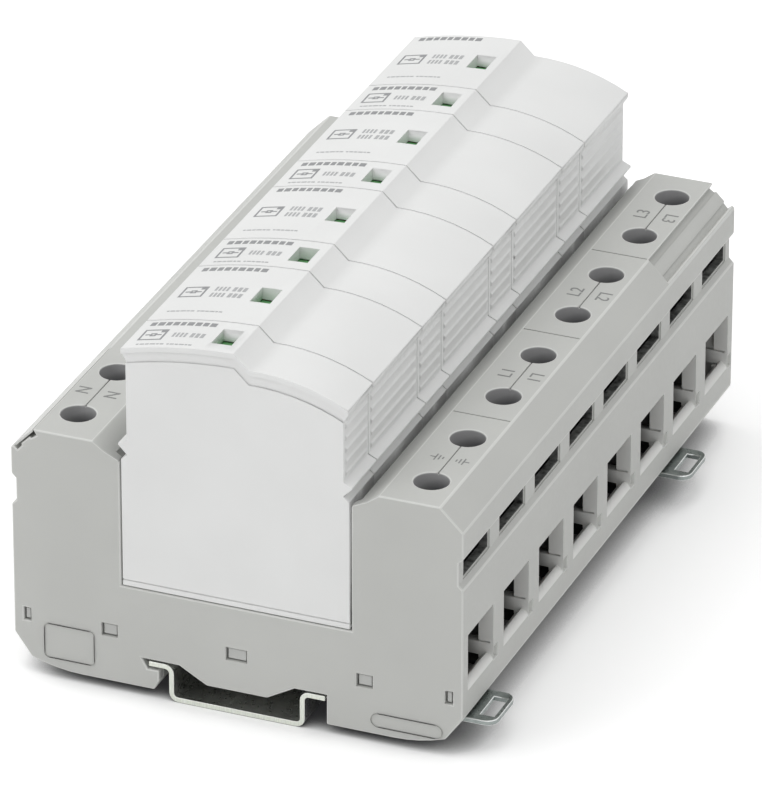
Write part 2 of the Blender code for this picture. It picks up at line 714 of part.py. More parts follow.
def mark_base_housing(housing):
    """Shallow work on the outside: lines on the blocks, vent frames, pry recesses and slits."""
    marks = bmesh.new()
    line_z = (BLOCK_TOP - LINE_DEPTH, BLOCK_TOP + BEYOND)
    vent_z = about((NOTCH_LOW + NOTCH_HIGH) / 2, VENT_HEIGHT + 2 * VENT_FRAME)
    vent_width = MODULE - 2 * VENT_MARGIN + 2 * VENT_FRAME
    notch_x = BASE_HALF - NOTCH_DEPTH
    pry_low = ENTRY_LOW - PRY_DROP
    for _, side, y in terminals():
        frame_x = side_span(side, notch_x - VENT_FRAME_DEPTH, BASE_HALF + BEYOND)
        add_box(marks, frame_x, about(y, vent_width), vent_z)
        entry_rear = y + ENTRY_WIDTH / 2
        pry_x = side_span(side, BASE_HALF - PRY_DEPTH, BASE_HALF + BEYOND)
        pry_y = (entry_rear + PRY_ASIDE, entry_rear + PRY_ASIDE + PRY_WIDTH)
        add_box(marks, pry_x, pry_y, (pry_low, pry_low + PRY_HEIGHT))
        slit_x = side_span(side, CHAMBER_OUT, BASE_HALF - CHEEK_SLIT_SHORT)
        slit_y = (entry_rear - BEYOND, entry_rear + LINE_DEPTH)
        slit_z = ENTRY_LOW - CHEEK_FALL + CHEEK_HEIGHT
        add_box(marks, slit_x, slit_y, (slit_z, slit_z + CHEEK_SLIT))
    for pair in range(PAIRS + 1):
        side, place = (1, pair) if pair < PAIRS else (-1, 0)
        start = module_middle(2 * place) + BORE_RADIUS - OVERLAP
        end = module_middle(2 * place + 1) - BORE_RADIUS + OVERLAP
        add_box(marks, about(side * TERMINAL_X, LINE_WIDTH), (start, end), line_z)
    line_x = (BAY_HALF + SHOULDER_RUN + LINE_INSET, BASE_HALF - BLOCK_CHAMFER - LINE_INSET)
    for pair in range(1, PAIRS):
        add_box(marks, line_x, about(FRONT + pair * PAIR, LINE_WIDTH), line_z)
    shape(housing, "DIFFERENCE", marks, "marks")

    channels = bmesh.new()
    outline = marker_outline()
    add_prism(channels, outline, "Y", REAR - PAIR, REAR + BEYOND)
    add_prism(channels, mirrored(outline), "Y", FRONT - BEYOND, FRONT + PAIR)
    for groove in (rim_groove_outline(), mirrored(rim_groove_outline())):
        add_prism(channels, groove, "Y", FRONT + END_WALL, REAR + BEYOND)
    shape(housing, "DIFFERENCE", channels, "channels")


def build_marker_strip():
    """A flat strip snapped into the left block's channel."""
    depth = STRIP_THICKNESS * math.sqrt(2)
    outline = [
        on_chamfer(STRIP_START),
        on_chamfer(STRIP_END),
        on_chamfer(STRIP_END - depth / 2, depth),
        on_chamfer(STRIP_START - depth / 2, depth),
    ]
    bm = bmesh.new()
    add_prism(bm, mirrored(outline), "Y", FRONT, FRONT + PAIR - GAP)
    make_object("marker_strip", bm, "grey_plastic")


def build_base_housing():
    bm = bmesh.new()
    add_prism(bm, housing_outline(), "Y", FRONT, REAR)
    housing = make_object("base_housing", bm, "grey_plastic")
    hollow_base_housing(housing)
    add_terminal_guides(housing)
    open_base_housing(housing)
    mark_base_housing(housing)


def add_snap_hooks(floor):
    """Hooks at both ends of the floor, which reach into the windows of the end walls."""
    hooks = bmesh.new()
    for x, width in WINDOWS:
        span = about(x, width - 2 * GAP)
        for end, inward in ((FRONT, 1), (REAR, -1)):
            arm = end + inward * (END_WALL + GAP)
            outline = [
                (arm, FLOOR_TOP - OVERLAP),
                (arm + inward * HOOK_ARM, FLOOR_TOP - OVERLAP),
                (arm + inward * HOOK_ARM, WINDOW_HIGH - GAP),
                (end + inward * HOOK_SINK, WINDOW_HIGH - GAP),
                (end + inward * HOOK_SINK, WINDOW_LOW + GAP),
                (arm, WINDOW_LOW + GAP),
            ]
            add_prism(hooks, outline, "X", *span)
    shape(floor, "UNION", hooks, "hooks")


def near_latch(low, high):
    """Whether a latch's channel passes between low and high along Y."""
    reach = LATCH_WIDTH / 2 + POCKET_WALL
    return any(low < y + reach and high > y - reach for y in LATCH_PLACES.values())


def pocket_span(index):
    """The (low, high) pair of the pocket under a module, which is narrower at the two ends."""
    at_end = index in (0, MODULES - 1)
    width = MODULE - POCKET_WALL - (2 * POCKET_END_WALL if at_end else 0.0)
    return about(module_middle(index), width)


def build_base_floor():
    edge = BASE_HALF - LOWER_WALL - GAP
    right = foot_outline() + [(edge, foot_height(edge)), (edge, FLOOR_TOP)]
    outline = right + mirrored(right[::-1]) + slot_outline()[::-1]
    bm = bmesh.new()
    add_prism(bm, outline, "Y", FRONT + END_WALL + GAP, REAR - END_WALL - GAP)
    floor = make_object("base_floor", bm, "floor_plastic")
    add_snap_hooks(floor)

    hollows = bmesh.new()
    shelf_x = BASE_HALF - LATCH_JOG_IN - LATCH_JOG_RUN
    channel = [
        (SLOT_HALF - BEYOND, LATCH_LOW - GAP),
        (BASE_HALF, LATCH_LOW - GAP),
        (BASE_HALF, LATCH_TOP + LATCH_JOG + GAP),
        (shelf_x, LATCH_TOP + LATCH_JOG + GAP),
        (shelf_x, LATCH_TOP + GAP),
        (SLOT_HALF - BEYOND, LATCH_TOP + GAP),
    ]
    for y in LATCH_PLACES.values():
        add_prism(hollows, channel, "Y", *about(y, LATCH_WIDTH + 2 * GAP))
    for index in range(MODULES):
        low, high = pocket_span(index)
        for side in (-1, 1):
            if side > 0 and near_latch(low, high):
                continue
            pocket_x = side_span(side, SLOT_HALF + POCKET_WALL, edge - POCKET_WALL)
            pocket_z = (BASE_BOTTOM + POCKET_BOTTOM, FLOOR_TOP + BEYOND)
            add_box(hollows, pocket_x, (low, high), pocket_z)
    shape(floor, "DIFFERENCE", hollows, "hollows")


def build_din_rail():
    half, web = RAIL_WIDTH / 2, RAIL_WEBS / 2
    inner, outer = RAIL_BEND, RAIL_BEND + RAIL_SHEET
    under = RAIL_HEIGHT - RAIL_SHEET
    right = [
        (web, 0.0, outer),
        (web, under, inner),
        (half, under, 0.0),
        (half, RAIL_HEIGHT, 0.0),
        (web - RAIL_SHEET, RAIL_HEIGHT, outer),
        (web - RAIL_SHEET, RAIL_SHEET, inner),
    ]
    left = [(-x, z, radius) for x, z, radius in right[::-1]]
    bm = bmesh.new()
    add_prism(bm, rounded(right + left), "Y", FRONT, REAR)
    smooth(make_object("din_rail", bm, "zinc_steel"))


def build_foot_latch(place, y):
    """A bent sheet with a loop outside the wall: its side view meets its plan."""
    tail = RAIL_WIDTH / 2 - LATCH_BITE
    tip = BASE_HALF + LATCH_REACH
    bend = BASE_HALF - LATCH_JOG_IN
    lower = [
        (tail, LATCH_LOW),
        (bend, LATCH_LOW),
        (bend + LATCH_JOG_RUN, LATCH_LOW + LATCH_JOG),
        (tip, LATCH_LOW + LATCH_JOG),
    ]
    upper = [(x, z + LATCH_SHEET) for x, z in lower]
    bm = bmesh.new()
    add_prism(bm, lower + upper[::-1], "Y", *about(y, LATCH_WIDTH))
    origin = (tip, y, LATCH_LOW)
    latch = make_object(f"foot_latch_{place}", bm, "zinc_steel", origin)

    low, high = about(y, LATCH_WIDTH)
    step = tip - LATCH_CORNER - BEYOND
    plan = rounded(
        [
            (tail - BEYOND, low - BEYOND, 0.0),
            (step, low - BEYOND, 0.0),
            (step, low, 0.0),
            (tip, low, LATCH_CORNER),
            (tip, high, LATCH_CORNER),
            (step, high, 0.0),
            (step, high + BEYOND, 0.0),
            (tail - BEYOND, high + BEYOND, 0.0),
        ]
    )
    heights = (LATCH_LOW - BEYOND, LATCH_TOP + LATCH_JOG + BEYOND)
    trim = bmesh.new()
    add_prism(trim, plan, "Z", *heights)
    shape(latch, "INTERSECT", trim, "plan")

    hole = bmesh.new()
    hole_x = (tip - LATCH_RIM - LATCH_HOLE, tip - LATCH_RIM)
    add_box(hole, hole_x, about(y, LATCH_HOLE_WIDTH), heights)
    shape(latch, "DIFFERENCE", hole, "loop")


def screw_mesh():
    """A cheese-head screw with a cross recess, on its own axis, with z as in the base."""
    head = BORE_RADIUS - GAP
    profile = [
        (0.0, SCREW_TIP),
        (SHANK_RADIUS - SCREW_CHAMFER, SCREW_TIP),
        (SHANK_RADIUS, SCREW_TIP + SCREW_CHAMFER),
        (SHANK_RADIUS, HEAD_LOW),
        (head, HEAD_LOW),
        (head, HEAD_TOP - SCREW_CHAMFER),
        (head - SCREW_CHAMFER, HEAD_TOP),
        (0.0, HEAD_TOP),
    ]
    bm = bmesh.new()
    points = [bm.verts.new((x, 0.0, z)) for x, z in profile]
    edges = [bm.edges.new(pair) for pair in zip(points, points[1:])]
    turned = {"steps": SCREW_STEPS, "angle": math.tau, "use_merge": True}
    bmesh.ops.spin(bm, geom=points + edges, axis=(0, 0, 1), cent=(0, 0, 0), **turned)
    bmesh.ops.remove_doubles(bm, verts=bm.verts, dist=MERGE)
    screw = make_object("screw_pattern", bm, "zinc_steel")
    recess = bmesh.new()
    depth = (HEAD_TOP - DRIVE_DEPTH, HEAD_TOP + BEYOND)
    long, short = about(0.0, DRIVE_LENGTH), about(0.0, DRIVE_WIDTH)
    add_box(recess, long, short, depth)
    shape(screw, "DIFFERENCE", recess, "drive")
    across = bmesh.new()
    add_box(across, short, long, depth)
    shape(screw, "DIFFERENCE", across, "cross")
    mesh = settled_mesh(screw)
    smooth(mesh)
    return mesh


def cage_mesh():
    """A folded steel box with a tapped top, drawn round its own screw's axis."""
    bm = bmesh.new()
    length = about(0.0, CAGE_LENGTH)
    outer = (CAGE_LOW - CAGE_SHEET, CAGE_HIGH + CAGE_NUT)
    add_box(bm, length, about(0.0, CAGE_WIDTH), outer)
    cage = make_object("cage_pattern", bm, "zinc_steel")
    window = bmesh.new()
    through = about(0.0, CAGE_LENGTH + 2 * BEYOND)
    add_box(window, through, about(0.0, CAGE_WIDTH - 2 * CAGE_SHEET), (CAGE_LOW, CAGE_HIGH))
    shape(cage, "DIFFERENCE", window, "window")
    thread = bmesh.new()
    depth = (CAGE_HIGH - BEYOND, CAGE_HIGH + CAGE_NUT + BEYOND)
    add_cylinder(thread, 0.0, 0.0, depth, SHANK_RADIUS + GAP)
    shape(cage, "DIFFERENCE", thread, "thread")
    return settled_mesh(cage)


def build_terminals():
    screw, cage = screw_mesh(), cage_mesh()
    for name, side, y in terminals():
        place = (side * TERMINAL_X, y, 0.0)
        link(f"terminal_screw_{name}", screw, place)
        link(f"clamp_cage_{name}", cage, place)


def fork_leaves(bm, side, y):
    """Two spring leaves, one on each side of a blade."""
    inner = BLADE_SHEET / 2 + GAP
    for turn in (-1, 1):
        leaf_y = sorted((y + turn * inner, y + turn * (inner + FORK_SHEET)))
        heights = (BAR_TOP - OVERLAP, FORK_TOP)
        add_box(bm, about(side * BLADE_X, BLADE_WIDTH), leaf_y, heights)


def build_busbar(name, side, plate_span, arms, blades):
    """A plate under the blades, an arm to each clamp and a fork for each blade."""
    inner = BLADE_X - BLADE_WIDTH / 2 - PLATE_SIDE
    outer = BLADE_X + BLADE_WIDTH / 2 + PLATE_SIDE
    bm = bmesh.new()
    add_box(bm, side_span(side, inner, outer), plate_span, (BAR_LOW, BAR_TOP))
    bar = make_object(f"busbar_{name}", bm, "copper")
    arm = [
        (outer - PLATE_SIDE, BAR_LOW),
        (LEG_OUT, BAR_LOW),
        (LEG_OUT, TAB_LOW),
        (CAGE_OUT - TAB_SHORT, TAB_LOW),
        (CAGE_OUT - TAB_SHORT, TAB_TOP),
        (LEG_IN, TAB_TOP),
        (LEG_IN, BAR_TOP),
        (outer - PLATE_SIDE, BAR_TOP),
    ]
    reach = bmesh.new()
    for y in arms:
        add_prism(reach, arm if side > 0 else mirrored(arm), "Y", *about(y, ARM_WIDTH))
    shape(bar, "UNION", reach, "arms")
    leaves = bmesh.new()
    for y in blades:
        fork_leaves(leaves, side, y)
    shape(bar, "UNION", leaves, "forks")


def build_busbars():
    middles = [(low + high) / 2 for low, high in plugs()]
    for pair, line in enumerate(("pe", "l1", "l2", "l3")):
        start = FRONT + pair * PAIR
        span = (start + PLATE_END, start + PAIR - PLATE_END)
        arms = [module_middle(2 * pair), module_middle(2 * pair + 1)]
        build_busbar(line, 1, span, arms, middles[2 * pair : 2 * pair + 2])
    span = (FRONT + PLATE_END, REAR - PLATE_END)
    build_busbar("n", -1, span, [module_middle(0), module_middle(1)], middles)


def roof_line():
    """Top of a plug's side view from left to right: a dome, a step down and a lower curve."""
    base = PLUG_SHOULDER
    dome = arc_through(
        (-LIP_HALF, base + ROOF_LEFT),
        ((PEAK_X - LIP_HALF) / 2, base + ROOF_LEFT_MIDDLE),
        (PEAK_X, base + ROOF_PEAK),
        ROOF_STEPS,
    )
    slope = arc_through(
        (STEP_X, base + ROOF_STEP),
        ((STEP_X + LIP_HALF) / 2, base + ROOF_RIGHT_MIDDLE),
        (LIP_HALF, base + ROOF_RIGHT),
        ROOF_STEPS,
    )
    return dome + slope


def roof_height(x):
    """Height of the roof line at x."""
    line = roof_line()
    for (ax, az), (bx, bz) in zip(line, line[1:]):
        if ax <= x <= bx:
            return az + (bz - az) * (x - ax) / (bx - ax)
    return line[-1][1] if x > 0 else line[0][1]


def flank(sign, roof_end):
    """Outline of one end of a plug from its bottom up to the lip."""
    z = PLUG_SHOULDER
    lip = roof_end - LIP_HEIGHT
    points = [
        (PLUG_HALF, PLUG_BOTTOM),
        (PLUG_HALF, z),
        (NECK_HALF, z + NECK_SLOPE),
        (NECK_HALF, z + NECK_HEIGHT),
        (PLUG_HALF + KNOB_PROUD, z + KNOB_LOW),
        (PLUG_HALF + KNOB_PROUD, z + KNOB_HIGH),
        (BODY_HALF, z + KNOB_TOP),
        (BODY_HALF, lip - LIP_SLOPE),
        (LIP_HALF, lip),
    ]
    return [(sign * x, height) for x, height in points]


def plug_outline():
    roof = roof_line()
    right = flank(1, roof[-1][1])
    left = flank(-1, roof[0][1])
    return right + roof[::-1] + left[::-1]


def clipped_roof(half, drop):
    """The roof line lowered by drop, between -half and half."""
    inside = [(x, z) for x, z in roof_line() if abs(x) < half]
    ends = [(-half, roof_height(-half)), (half, roof_height(half))]
    return [(x, z - drop) for x, z in [ends[0], *inside, ends[1]]]


def add_ribs(bm, low, high):
    """Grip ribs on both ends, each with a sloping top and underside."""
    slope = (RIB_HEIGHT - RIB_FACE) / 2 / RIB_PROUD
    root = RIB_HEIGHT / 2 + RIB_SINK * slope
    for number in range(RIBS):
        z = PLUG_SHOULDER + RIB_FIRST + number * RIB_PITCH
        rib = [
            (BODY_HALF - RIB_SINK, z - root),
            (BODY_HALF + RIB_PROUD, z - RIB_FACE / 2),
            (BODY_HALF + RIB_PROUD, z + RIB_FACE / 2),
            (BODY_HALF - RIB_SINK, z + root),
        ]
        for outline in (rib, mirrored(rib)):
            add_prism(bm, outline, "Y", low + RIB_MARGIN, high - RIB_MARGIN)


def build_plug_housing(number, low, high):
    """A cap open below, with a band round its faces, ribs on its ends and a status window."""
    bm = bmesh.new()
    add_prism(bm, plug_outline(), "Y", low, high)
    middle = (low + high) / 2
    origin = (0.0, middle, PLUG_BOTTOM)
    plug = make_object(f"plug_housing_{number}", bm, "white_plastic", origin)
    flag_top = roof_height(WINDOW_X) - FLAG_DEPTH

    ribs = bmesh.new()
    add_ribs(ribs, low, high)
    shape(plug, "UNION", ribs, "ribs")

    core = bmesh.new()
    bottom = [(CORE_HALF, PLUG_BOTTOM - BEYOND), (-CORE_HALF, PLUG_BOTTOM - BEYOND)]
    ceiling = clipped_roof(CORE_HALF, PLUG_ROOF)
    add_prism(core, ceiling + bottom, "Y", low + PLUG_END_WALL, high - PLUG_END_WALL)
    shape(plug, "DIFFERENCE", core, "core")

    shaft = bmesh.new()
    shaft_x = about(WINDOW_X, WINDOW_LENGTH + 2 * WINDOW_WALL)
    shaft_z = (flag_top + GAP, roof_height(WINDOW_X) - PLUG_ROOF + OVERLAP)
    add_box(shaft, shaft_x, about(middle, WINDOW_WIDTH + 2 * WINDOW_WALL), shaft_z)
    shape(plug, "UNION", shaft, "shaft")

    cuts = bmesh.new()
    past = LIP_HALF + BEYOND
    upper = [(x, z - LIP_HEIGHT) for x, z in roof_line()]
    upper = [(-past, upper[0][1]), *upper, (past, upper[-1][1])]
    band = upper + [(x, z - BAND_HEIGHT) for x, z in upper[::-1]]
    add_prism(cuts, band, "Y", low - BEYOND, low + BAND_DEPTH)
    add_prism(cuts, band, "Y", high - BAND_DEPTH, high + BEYOND)
    line_z = about(PLUG_BOTTOM + FACE_LINE_LIFT, LINE_WIDTH)
    add_box(cuts, (-past, past), (low - BEYOND, low + LINE_DEPTH), line_z)
    add_box(cuts, (-past, past), (high - LINE_DEPTH, high + BEYOND), line_z)
    window_z = (flag_top, roof_height(WINDOW_X) + BEYOND)
    add_box(cuts, about(WINDOW_X, WINDOW_LENGTH), about(middle, WINDOW_WIDTH), window_z)
    shape(plug, "DIFFERENCE", cuts, "cuts")


def build_arrester_insert(number, low, high):
    """The element on its base plate, with a contact blade at each end."""
    flag_low = roof_height(WINDOW_X) - FLAG_DEPTH - FLAG_SHEET
    plate = CORE_HALF - GAP
    element = CORE_HALF - ELEMENT_INSET
    plate_top = PLUG_BOTTOM + INSERT_PLATE
    element_top = PLUG_SHOULDER + ELEMENT_HEIGHT
    tower_top = flag_low - GAP
    outline = [
        (plate, PLUG_BOTTOM),
        (plate, plate_top),
        (element, plate_top),
        (element, element_top),
        (PEAK_X + TOWER_PAST_PEAK, element_top),
        (PEAK_X + TOWER_PAST_PEAK, tower_top),
        (-TOWER_LEFT, tower_top),
        (-TOWER_LEFT, element_top),
        (-element, element_top),
        (-element, plate_top),
        (-plate, plate_top),
        (-plate, PLUG_BOTTOM),
    ]
    inside = PLUG_END_WALL + GAP
    bm = bmesh.new()
    add_prism(bm, outline, "Y", low + inside, high - inside)
    middle = (low + high) / 2
    origin = (0.0, middle, PLUG_BOTTOM)
    insert = make_object(f"arrester_insert_{number}", bm, "dark_ceramic", origin)
    blades = bmesh.new()
    heights = (BAR_TOP + GAP, PLUG_BOTTOM + OVERLAP)
    for side in (-1, 1):
        blade_x = about(side * BLADE_X, BLADE_WIDTH)
        add_box(blades, blade_x, about(middle, BLADE_SHEET), heights)
    shape(insert, "UNION", blades, "blades")


def build_status_flag(number, low, high):
    top = roof_height(WINDOW_X) - FLAG_DEPTH
    middle = (low + high) / 2
    bm = bmesh.new()
    length = WINDOW_LENGTH + 2 * FLAG_OVERLAP
    width = WINDOW_WIDTH + 2 * FLAG_OVERLAP
    add_box(bm, about(WINDOW_X, length), about(middle, width), (top - FLAG_SHEET, top))
    make_object(f"status_flag_{number}", bm, "green_flag", (WINDOW_X, middle, top))


def build_plugs():
    for index, (start, end) in enumerate(plugs()):
        low = start if index == 0 else start + SEAM / 2
        high = end if index == MODULES - 1 else end - SEAM / 2
        build_plug_housing(index + 1, low, high)
        build_arrester_insert(index + 1, low, high)
        build_status_flag(index + 1, low, high)


clear_scene()
build_base_housing()
build_marker_strip()
build_base_floor()
build_din_rail()
for latch_place, latch_y in LATCH_PLACES.items():
    build_foot_latch(latch_place, latch_y)
build_terminals()
build_busbars()
build_plugs()
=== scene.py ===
import math

import bmesh
import bpy
from mathutils import Euler, Matrix, Vector
from mathutils.bvhtree import BVHTree


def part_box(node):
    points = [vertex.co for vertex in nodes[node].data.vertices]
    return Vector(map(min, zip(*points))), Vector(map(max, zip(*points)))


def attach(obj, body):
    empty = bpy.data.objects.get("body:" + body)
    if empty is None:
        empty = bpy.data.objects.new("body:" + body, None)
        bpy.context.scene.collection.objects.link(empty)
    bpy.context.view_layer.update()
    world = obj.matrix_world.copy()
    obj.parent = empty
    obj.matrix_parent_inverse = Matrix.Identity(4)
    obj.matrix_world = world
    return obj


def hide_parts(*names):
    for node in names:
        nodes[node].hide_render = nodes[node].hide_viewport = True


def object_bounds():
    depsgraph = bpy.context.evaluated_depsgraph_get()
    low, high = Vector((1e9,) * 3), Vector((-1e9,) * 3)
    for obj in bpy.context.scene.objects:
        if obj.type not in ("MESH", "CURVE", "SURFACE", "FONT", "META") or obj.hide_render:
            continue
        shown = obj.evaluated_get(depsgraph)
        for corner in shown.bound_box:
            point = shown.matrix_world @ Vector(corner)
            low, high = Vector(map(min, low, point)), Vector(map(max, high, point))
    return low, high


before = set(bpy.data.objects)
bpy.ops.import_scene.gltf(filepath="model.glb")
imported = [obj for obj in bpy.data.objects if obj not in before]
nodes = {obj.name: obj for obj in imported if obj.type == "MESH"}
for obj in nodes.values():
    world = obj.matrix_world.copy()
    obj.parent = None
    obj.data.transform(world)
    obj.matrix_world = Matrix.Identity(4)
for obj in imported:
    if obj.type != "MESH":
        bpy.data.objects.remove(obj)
cad_low, cad_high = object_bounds()


# Rail
# A short piece of top-hat rail, roll-formed from 1 mm steel strip and plated with zinc.
# It is sawn off at both ends, where the bare cut is paler and rougher than the plating.
RAIL_EDGE = 0.00012
CUT_DEPTH = 0.00005
JOIN = 0.000001
ROUND_SEGMENTS = 3
SHARP = math.radians(35)
MANY_CORNERS = 4
FLAT_TURN = math.radians(0.5)
FACING = 0.9
NOISE_LOW, NOISE_HIGH = 0.3, 0.7


def merged(node):
    """A node's mesh with its flat faces made whole, and pierced side walls split again."""
    bm = bmesh.new()
    bm.from_mesh(nodes[node].data)
    bmesh.ops.remove_doubles(bm, verts=bm.verts, dist=JOIN)
    bmesh.ops.dissolve_limit(bm, angle_limit=FLAT_TURN, verts=bm.verts, edges=bm.edges)
    sides = [face for face in bm.faces if abs(face.normal.x) > FACING]
    wide = [face for face in sides if len(face.verts) > MANY_CORNERS]
    bmesh.ops.connect_verts_concave(bm, faces=wide)
    return bm


def face_depth(face, edge):
    """How far a face reaches from one of its edges."""
    start = edge.verts[0].co
    along = (edge.verts[1].co - start).normalized()
    ways = [corner.co - start for corner in face.verts]
    return max((way - along * way.dot(along)).length for way in ways)


def round_edges(bm, radius, least=25, spared=None):
    """Round each outward edge that turns by the least angle, has room and isn't spared."""
    picked = []
    for edge in bm.edges:
        if len(edge.link_faces) != 2 or not edge.is_convex:
            continue
        if edge.calc_face_angle() < math.radians(least):
            continue
        if spared and spared(edge):
            continue
        if min(face_depth(face, edge) for face in edge.link_faces) > 3 * radius:
            picked.append(edge)
    grown = bmesh.ops.bevel(
        bm,
        geom=picked,
        offset=radius,
        offset_type="OFFSET",
        segments=ROUND_SEGMENTS,
        profile=0.5,
        affect="EDGES",
        material=-1,
        clamp_overlap=False,
    )
    return grown["faces"]


def add_piece(name, bm, body, finishes, stands_for=(), sharp=SHARP):
    """Make a mesh drawn in its place into a piece that rides on a body."""
    mesh = bpy.data.meshes.new(name)
    bm.to_mesh(mesh)
    bm.free()
    for finish in finishes:
        mesh.materials.append(finish)
    mesh.shade_smooth()
    mesh.set_sharp_from_angle(angle=sharp)
    piece = bpy.data.objects.new(name, mesh)
    bpy.context.scene.collection.objects.link(piece)
    even = piece.modifiers.new("even_shading", "WEIGHTED_NORMAL")
    even.keep_sharp = True
    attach(piece, body)
    if stands_for:
        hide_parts(*stands_for)
    return piece


def new_finish(name, colour, roughness, metallic=0.0):
    """A Principled material, with its node tree, its shader and the place that patterns read."""
    made = bpy.data.materials.new(name)
    made.use_nodes = True
    tree = made.node_tree
    shader = tree.nodes["Principled BSDF"]
    shader.inputs["Base Color"].default_value = (*colour, 1.0)
    shader.inputs["Roughness"].default_value = roughness
    shader.inputs["Metallic"].default_value = metallic
    place = tree.nodes.new("ShaderNodeTexCoord").outputs["Object"]
    return made, tree, shader, place


def add_noise(tree, place, scale, detail=3.0, stretch=(1.0, 1.0, 1.0)):
    """Noise of the given scale per metre, stretched along the axes."""
    mapping = tree.nodes.new("ShaderNodeMapping")
    mapping.inputs["Scale"].default_value = [scale * share for share in stretch]
    noise = tree.nodes.new("ShaderNodeTexNoise")
    noise.inputs["Scale"].default_value = 1.0
    noise.inputs["Detail"].default_value = detail
    tree.links.new(place, mapping.inputs["Vector"])
    tree.links.new(mapping.outputs["Vector"], noise.inputs["Vector"])
    return noise.outputs["Fac"]


def add_range(tree, value, first, last, low=NOISE_LOW, high=NOISE_HIGH):
    """Go from the first to the last number as a value, or the middle of a noise, rises."""
    spread = tree.nodes.new("ShaderNodeMapRange")
    spread.inputs["From Min"].default_value = low
    spread.inputs["From Max"].default_value = high
    spread.inputs["To Min"].default_value = first
    spread.inputs["To Max"].default_value = last
    tree.links.new(value, spread.inputs["Value"])
    return spread.outputs["Result"]


def add_tint(tree, value, first, last):
    """Blend between two colours by the middle of a noise."""
    ramp = tree.nodes.new("ShaderNodeValToRGB")
    ramp.color_ramp.elements[0].position = NOISE_LOW
    ramp.color_ramp.elements[0].color = (*first, 1.0)
    ramp.color_ramp.elements[1].position = NOISE_HIGH
    ramp.color_ramp.elements[1].color = (*last, 1.0)
    tree.links.new(value, ramp.inputs["Fac"])
    return ramp.outputs["Color"]


def add_bump(tree, shader, height, depth, strength=1.0):
    """Raise the surface by a pattern, over any bump that the shader has already."""
    bump = tree.nodes.new("ShaderNodeBump")
    bump.inputs["Strength"].default_value = strength
    bump.inputs["Distance"].default_value = depth
    tree.links.new(height, bump.inputs["Height"])
    normal = shader.inputs["Normal"]
    if normal.is_linked:
        tree.links.new(normal.links[0].from_socket, bump.inputs["Normal"])
    tree.links.new(bump.outputs["Normal"], normal)


def zinc_plate(name, first, last, roll_axis):
    """Zinc plating with cloudy spangle, and fine rolling lines along one axis."""
    made, tree, shader, place = new_finish(name, first, 0.3, 1.0)
    cloud = add_noise(tree, place, 420, 4.0)
    tree.links.new(add_tint(tree, cloud, first, last), shader.inputs["Base Color"])
    patch = add_noise(tree, place, 1500, 2.0)
    tree.links.new(add_range(tree, patch, 0.24, 0.42), shader.inputs["Roughness"])
    stretch = [0.04 if axis == roll_axis else 1.0 for axis in "XYZ"]
    lines = add_noise(tree, place, 5000, 2.0, stretch)
    add_bump(tree, shader, lines, 0.000006, 0.5)
    return made


def sawn_metal(name, colour):
    """A bare cut: pale, matt, with saw marks across it."""
    made, tree, shader, place = new_finish(name, colour, 0.5, 0.4)
    marks = add_noise(tree, place, 6000, 2.0, (1.0, 1.0, 0.1))
    shade = [share * 0.82 for share in colour]
    tree.links.new(add_tint(tree, marks, shade, colour), shader.inputs["Base Color"])
    add_bump(tree, shader, marks, 0.00001, 0.6)
    return made


rail_zinc = zinc_plate("rail_zinc", (0.55, 0.56, 0.54), (0.70, 0.71, 0.68), "Y")
rail_cut = sawn_metal("rail_cut", (0.82, 0.85, 0.77))
rail = merged("din_rail")
round_edges(rail, RAIL_EDGE)
for side in rail.faces:
    if all(abs(corner.co.y) > cad_high.y - CUT_DEPTH for corner in side.verts):
        side.material_index = 1
add_piece("rail_strip", rail, "base", [rail_zinc, rail_cut], ["din_rail"])


# Base floor
# The floor closes the base from below. It is moulded from the same grey plastic as the housing
# and snaps into it: its hooks show in the small windows of both end walls.
FLOOR_EDGE = 0.00015
FLOOR_GREY = (0.50, 0.506, 0.49)


def moulded_plastic(name, colour, roughness, grain):
    """Moulded plastic: a slight drift in colour and gloss, and the fine grain of an eroded mould."""
    made, tree, shader, place = new_finish(name, colour, roughness)
    drift = add_noise(tree, place, 45, 2.0)
    darker = [share * 0.97 for share in colour]
    lighter = [share * 1.02 for share in colour]
    tree.links.new(add_tint(tree, drift, darker, lighter), shader.inputs["Base Color"])
    sheen = add_noise(tree, place, 900, 3.0)
    wet, dry = roughness - 0.05, roughness + 0.06
    tree.links.new(add_range(tree, sheen, wet, dry), shader.inputs["Roughness"])
    add_bump(tree, shader, add_noise(tree, place, 110, 1.0), 0.00004, 0.5)
    add_bump(tree, shader, add_noise(tree, place, 5500, 2.0), grain, 0.5)
    shader.inputs["IOR"].default_value = 1.5
    return made


floor_plastic = moulded_plastic("floor_plastic", FLOOR_GREY, 0.52, 0.000014)
floor_plate = merged("base_floor")
round_edges(floor_plate, FLOOR_EDGE)
add_piece("floor_plate", floor_plate, "base", [floor_plastic], ["base_floor"])


# Base housing
# One large moulding of grey flame-retardant plastic holds every terminal and the plug bay.
# Its outer edges have a small radius, and its faces the fine grain of an eroded mould.
# Light and shade are painted on it: paler rounded edges as painted highlight, near black chambers
# and vents, darker bores, dividing lines and slopes as painted shade, paler jambs and darker cheeks
# at the wire entries as painted light and shade.
HOUSING_EDGE = 0.0003
HOUSING_GREY = (0.525, 0.531, 0.51)
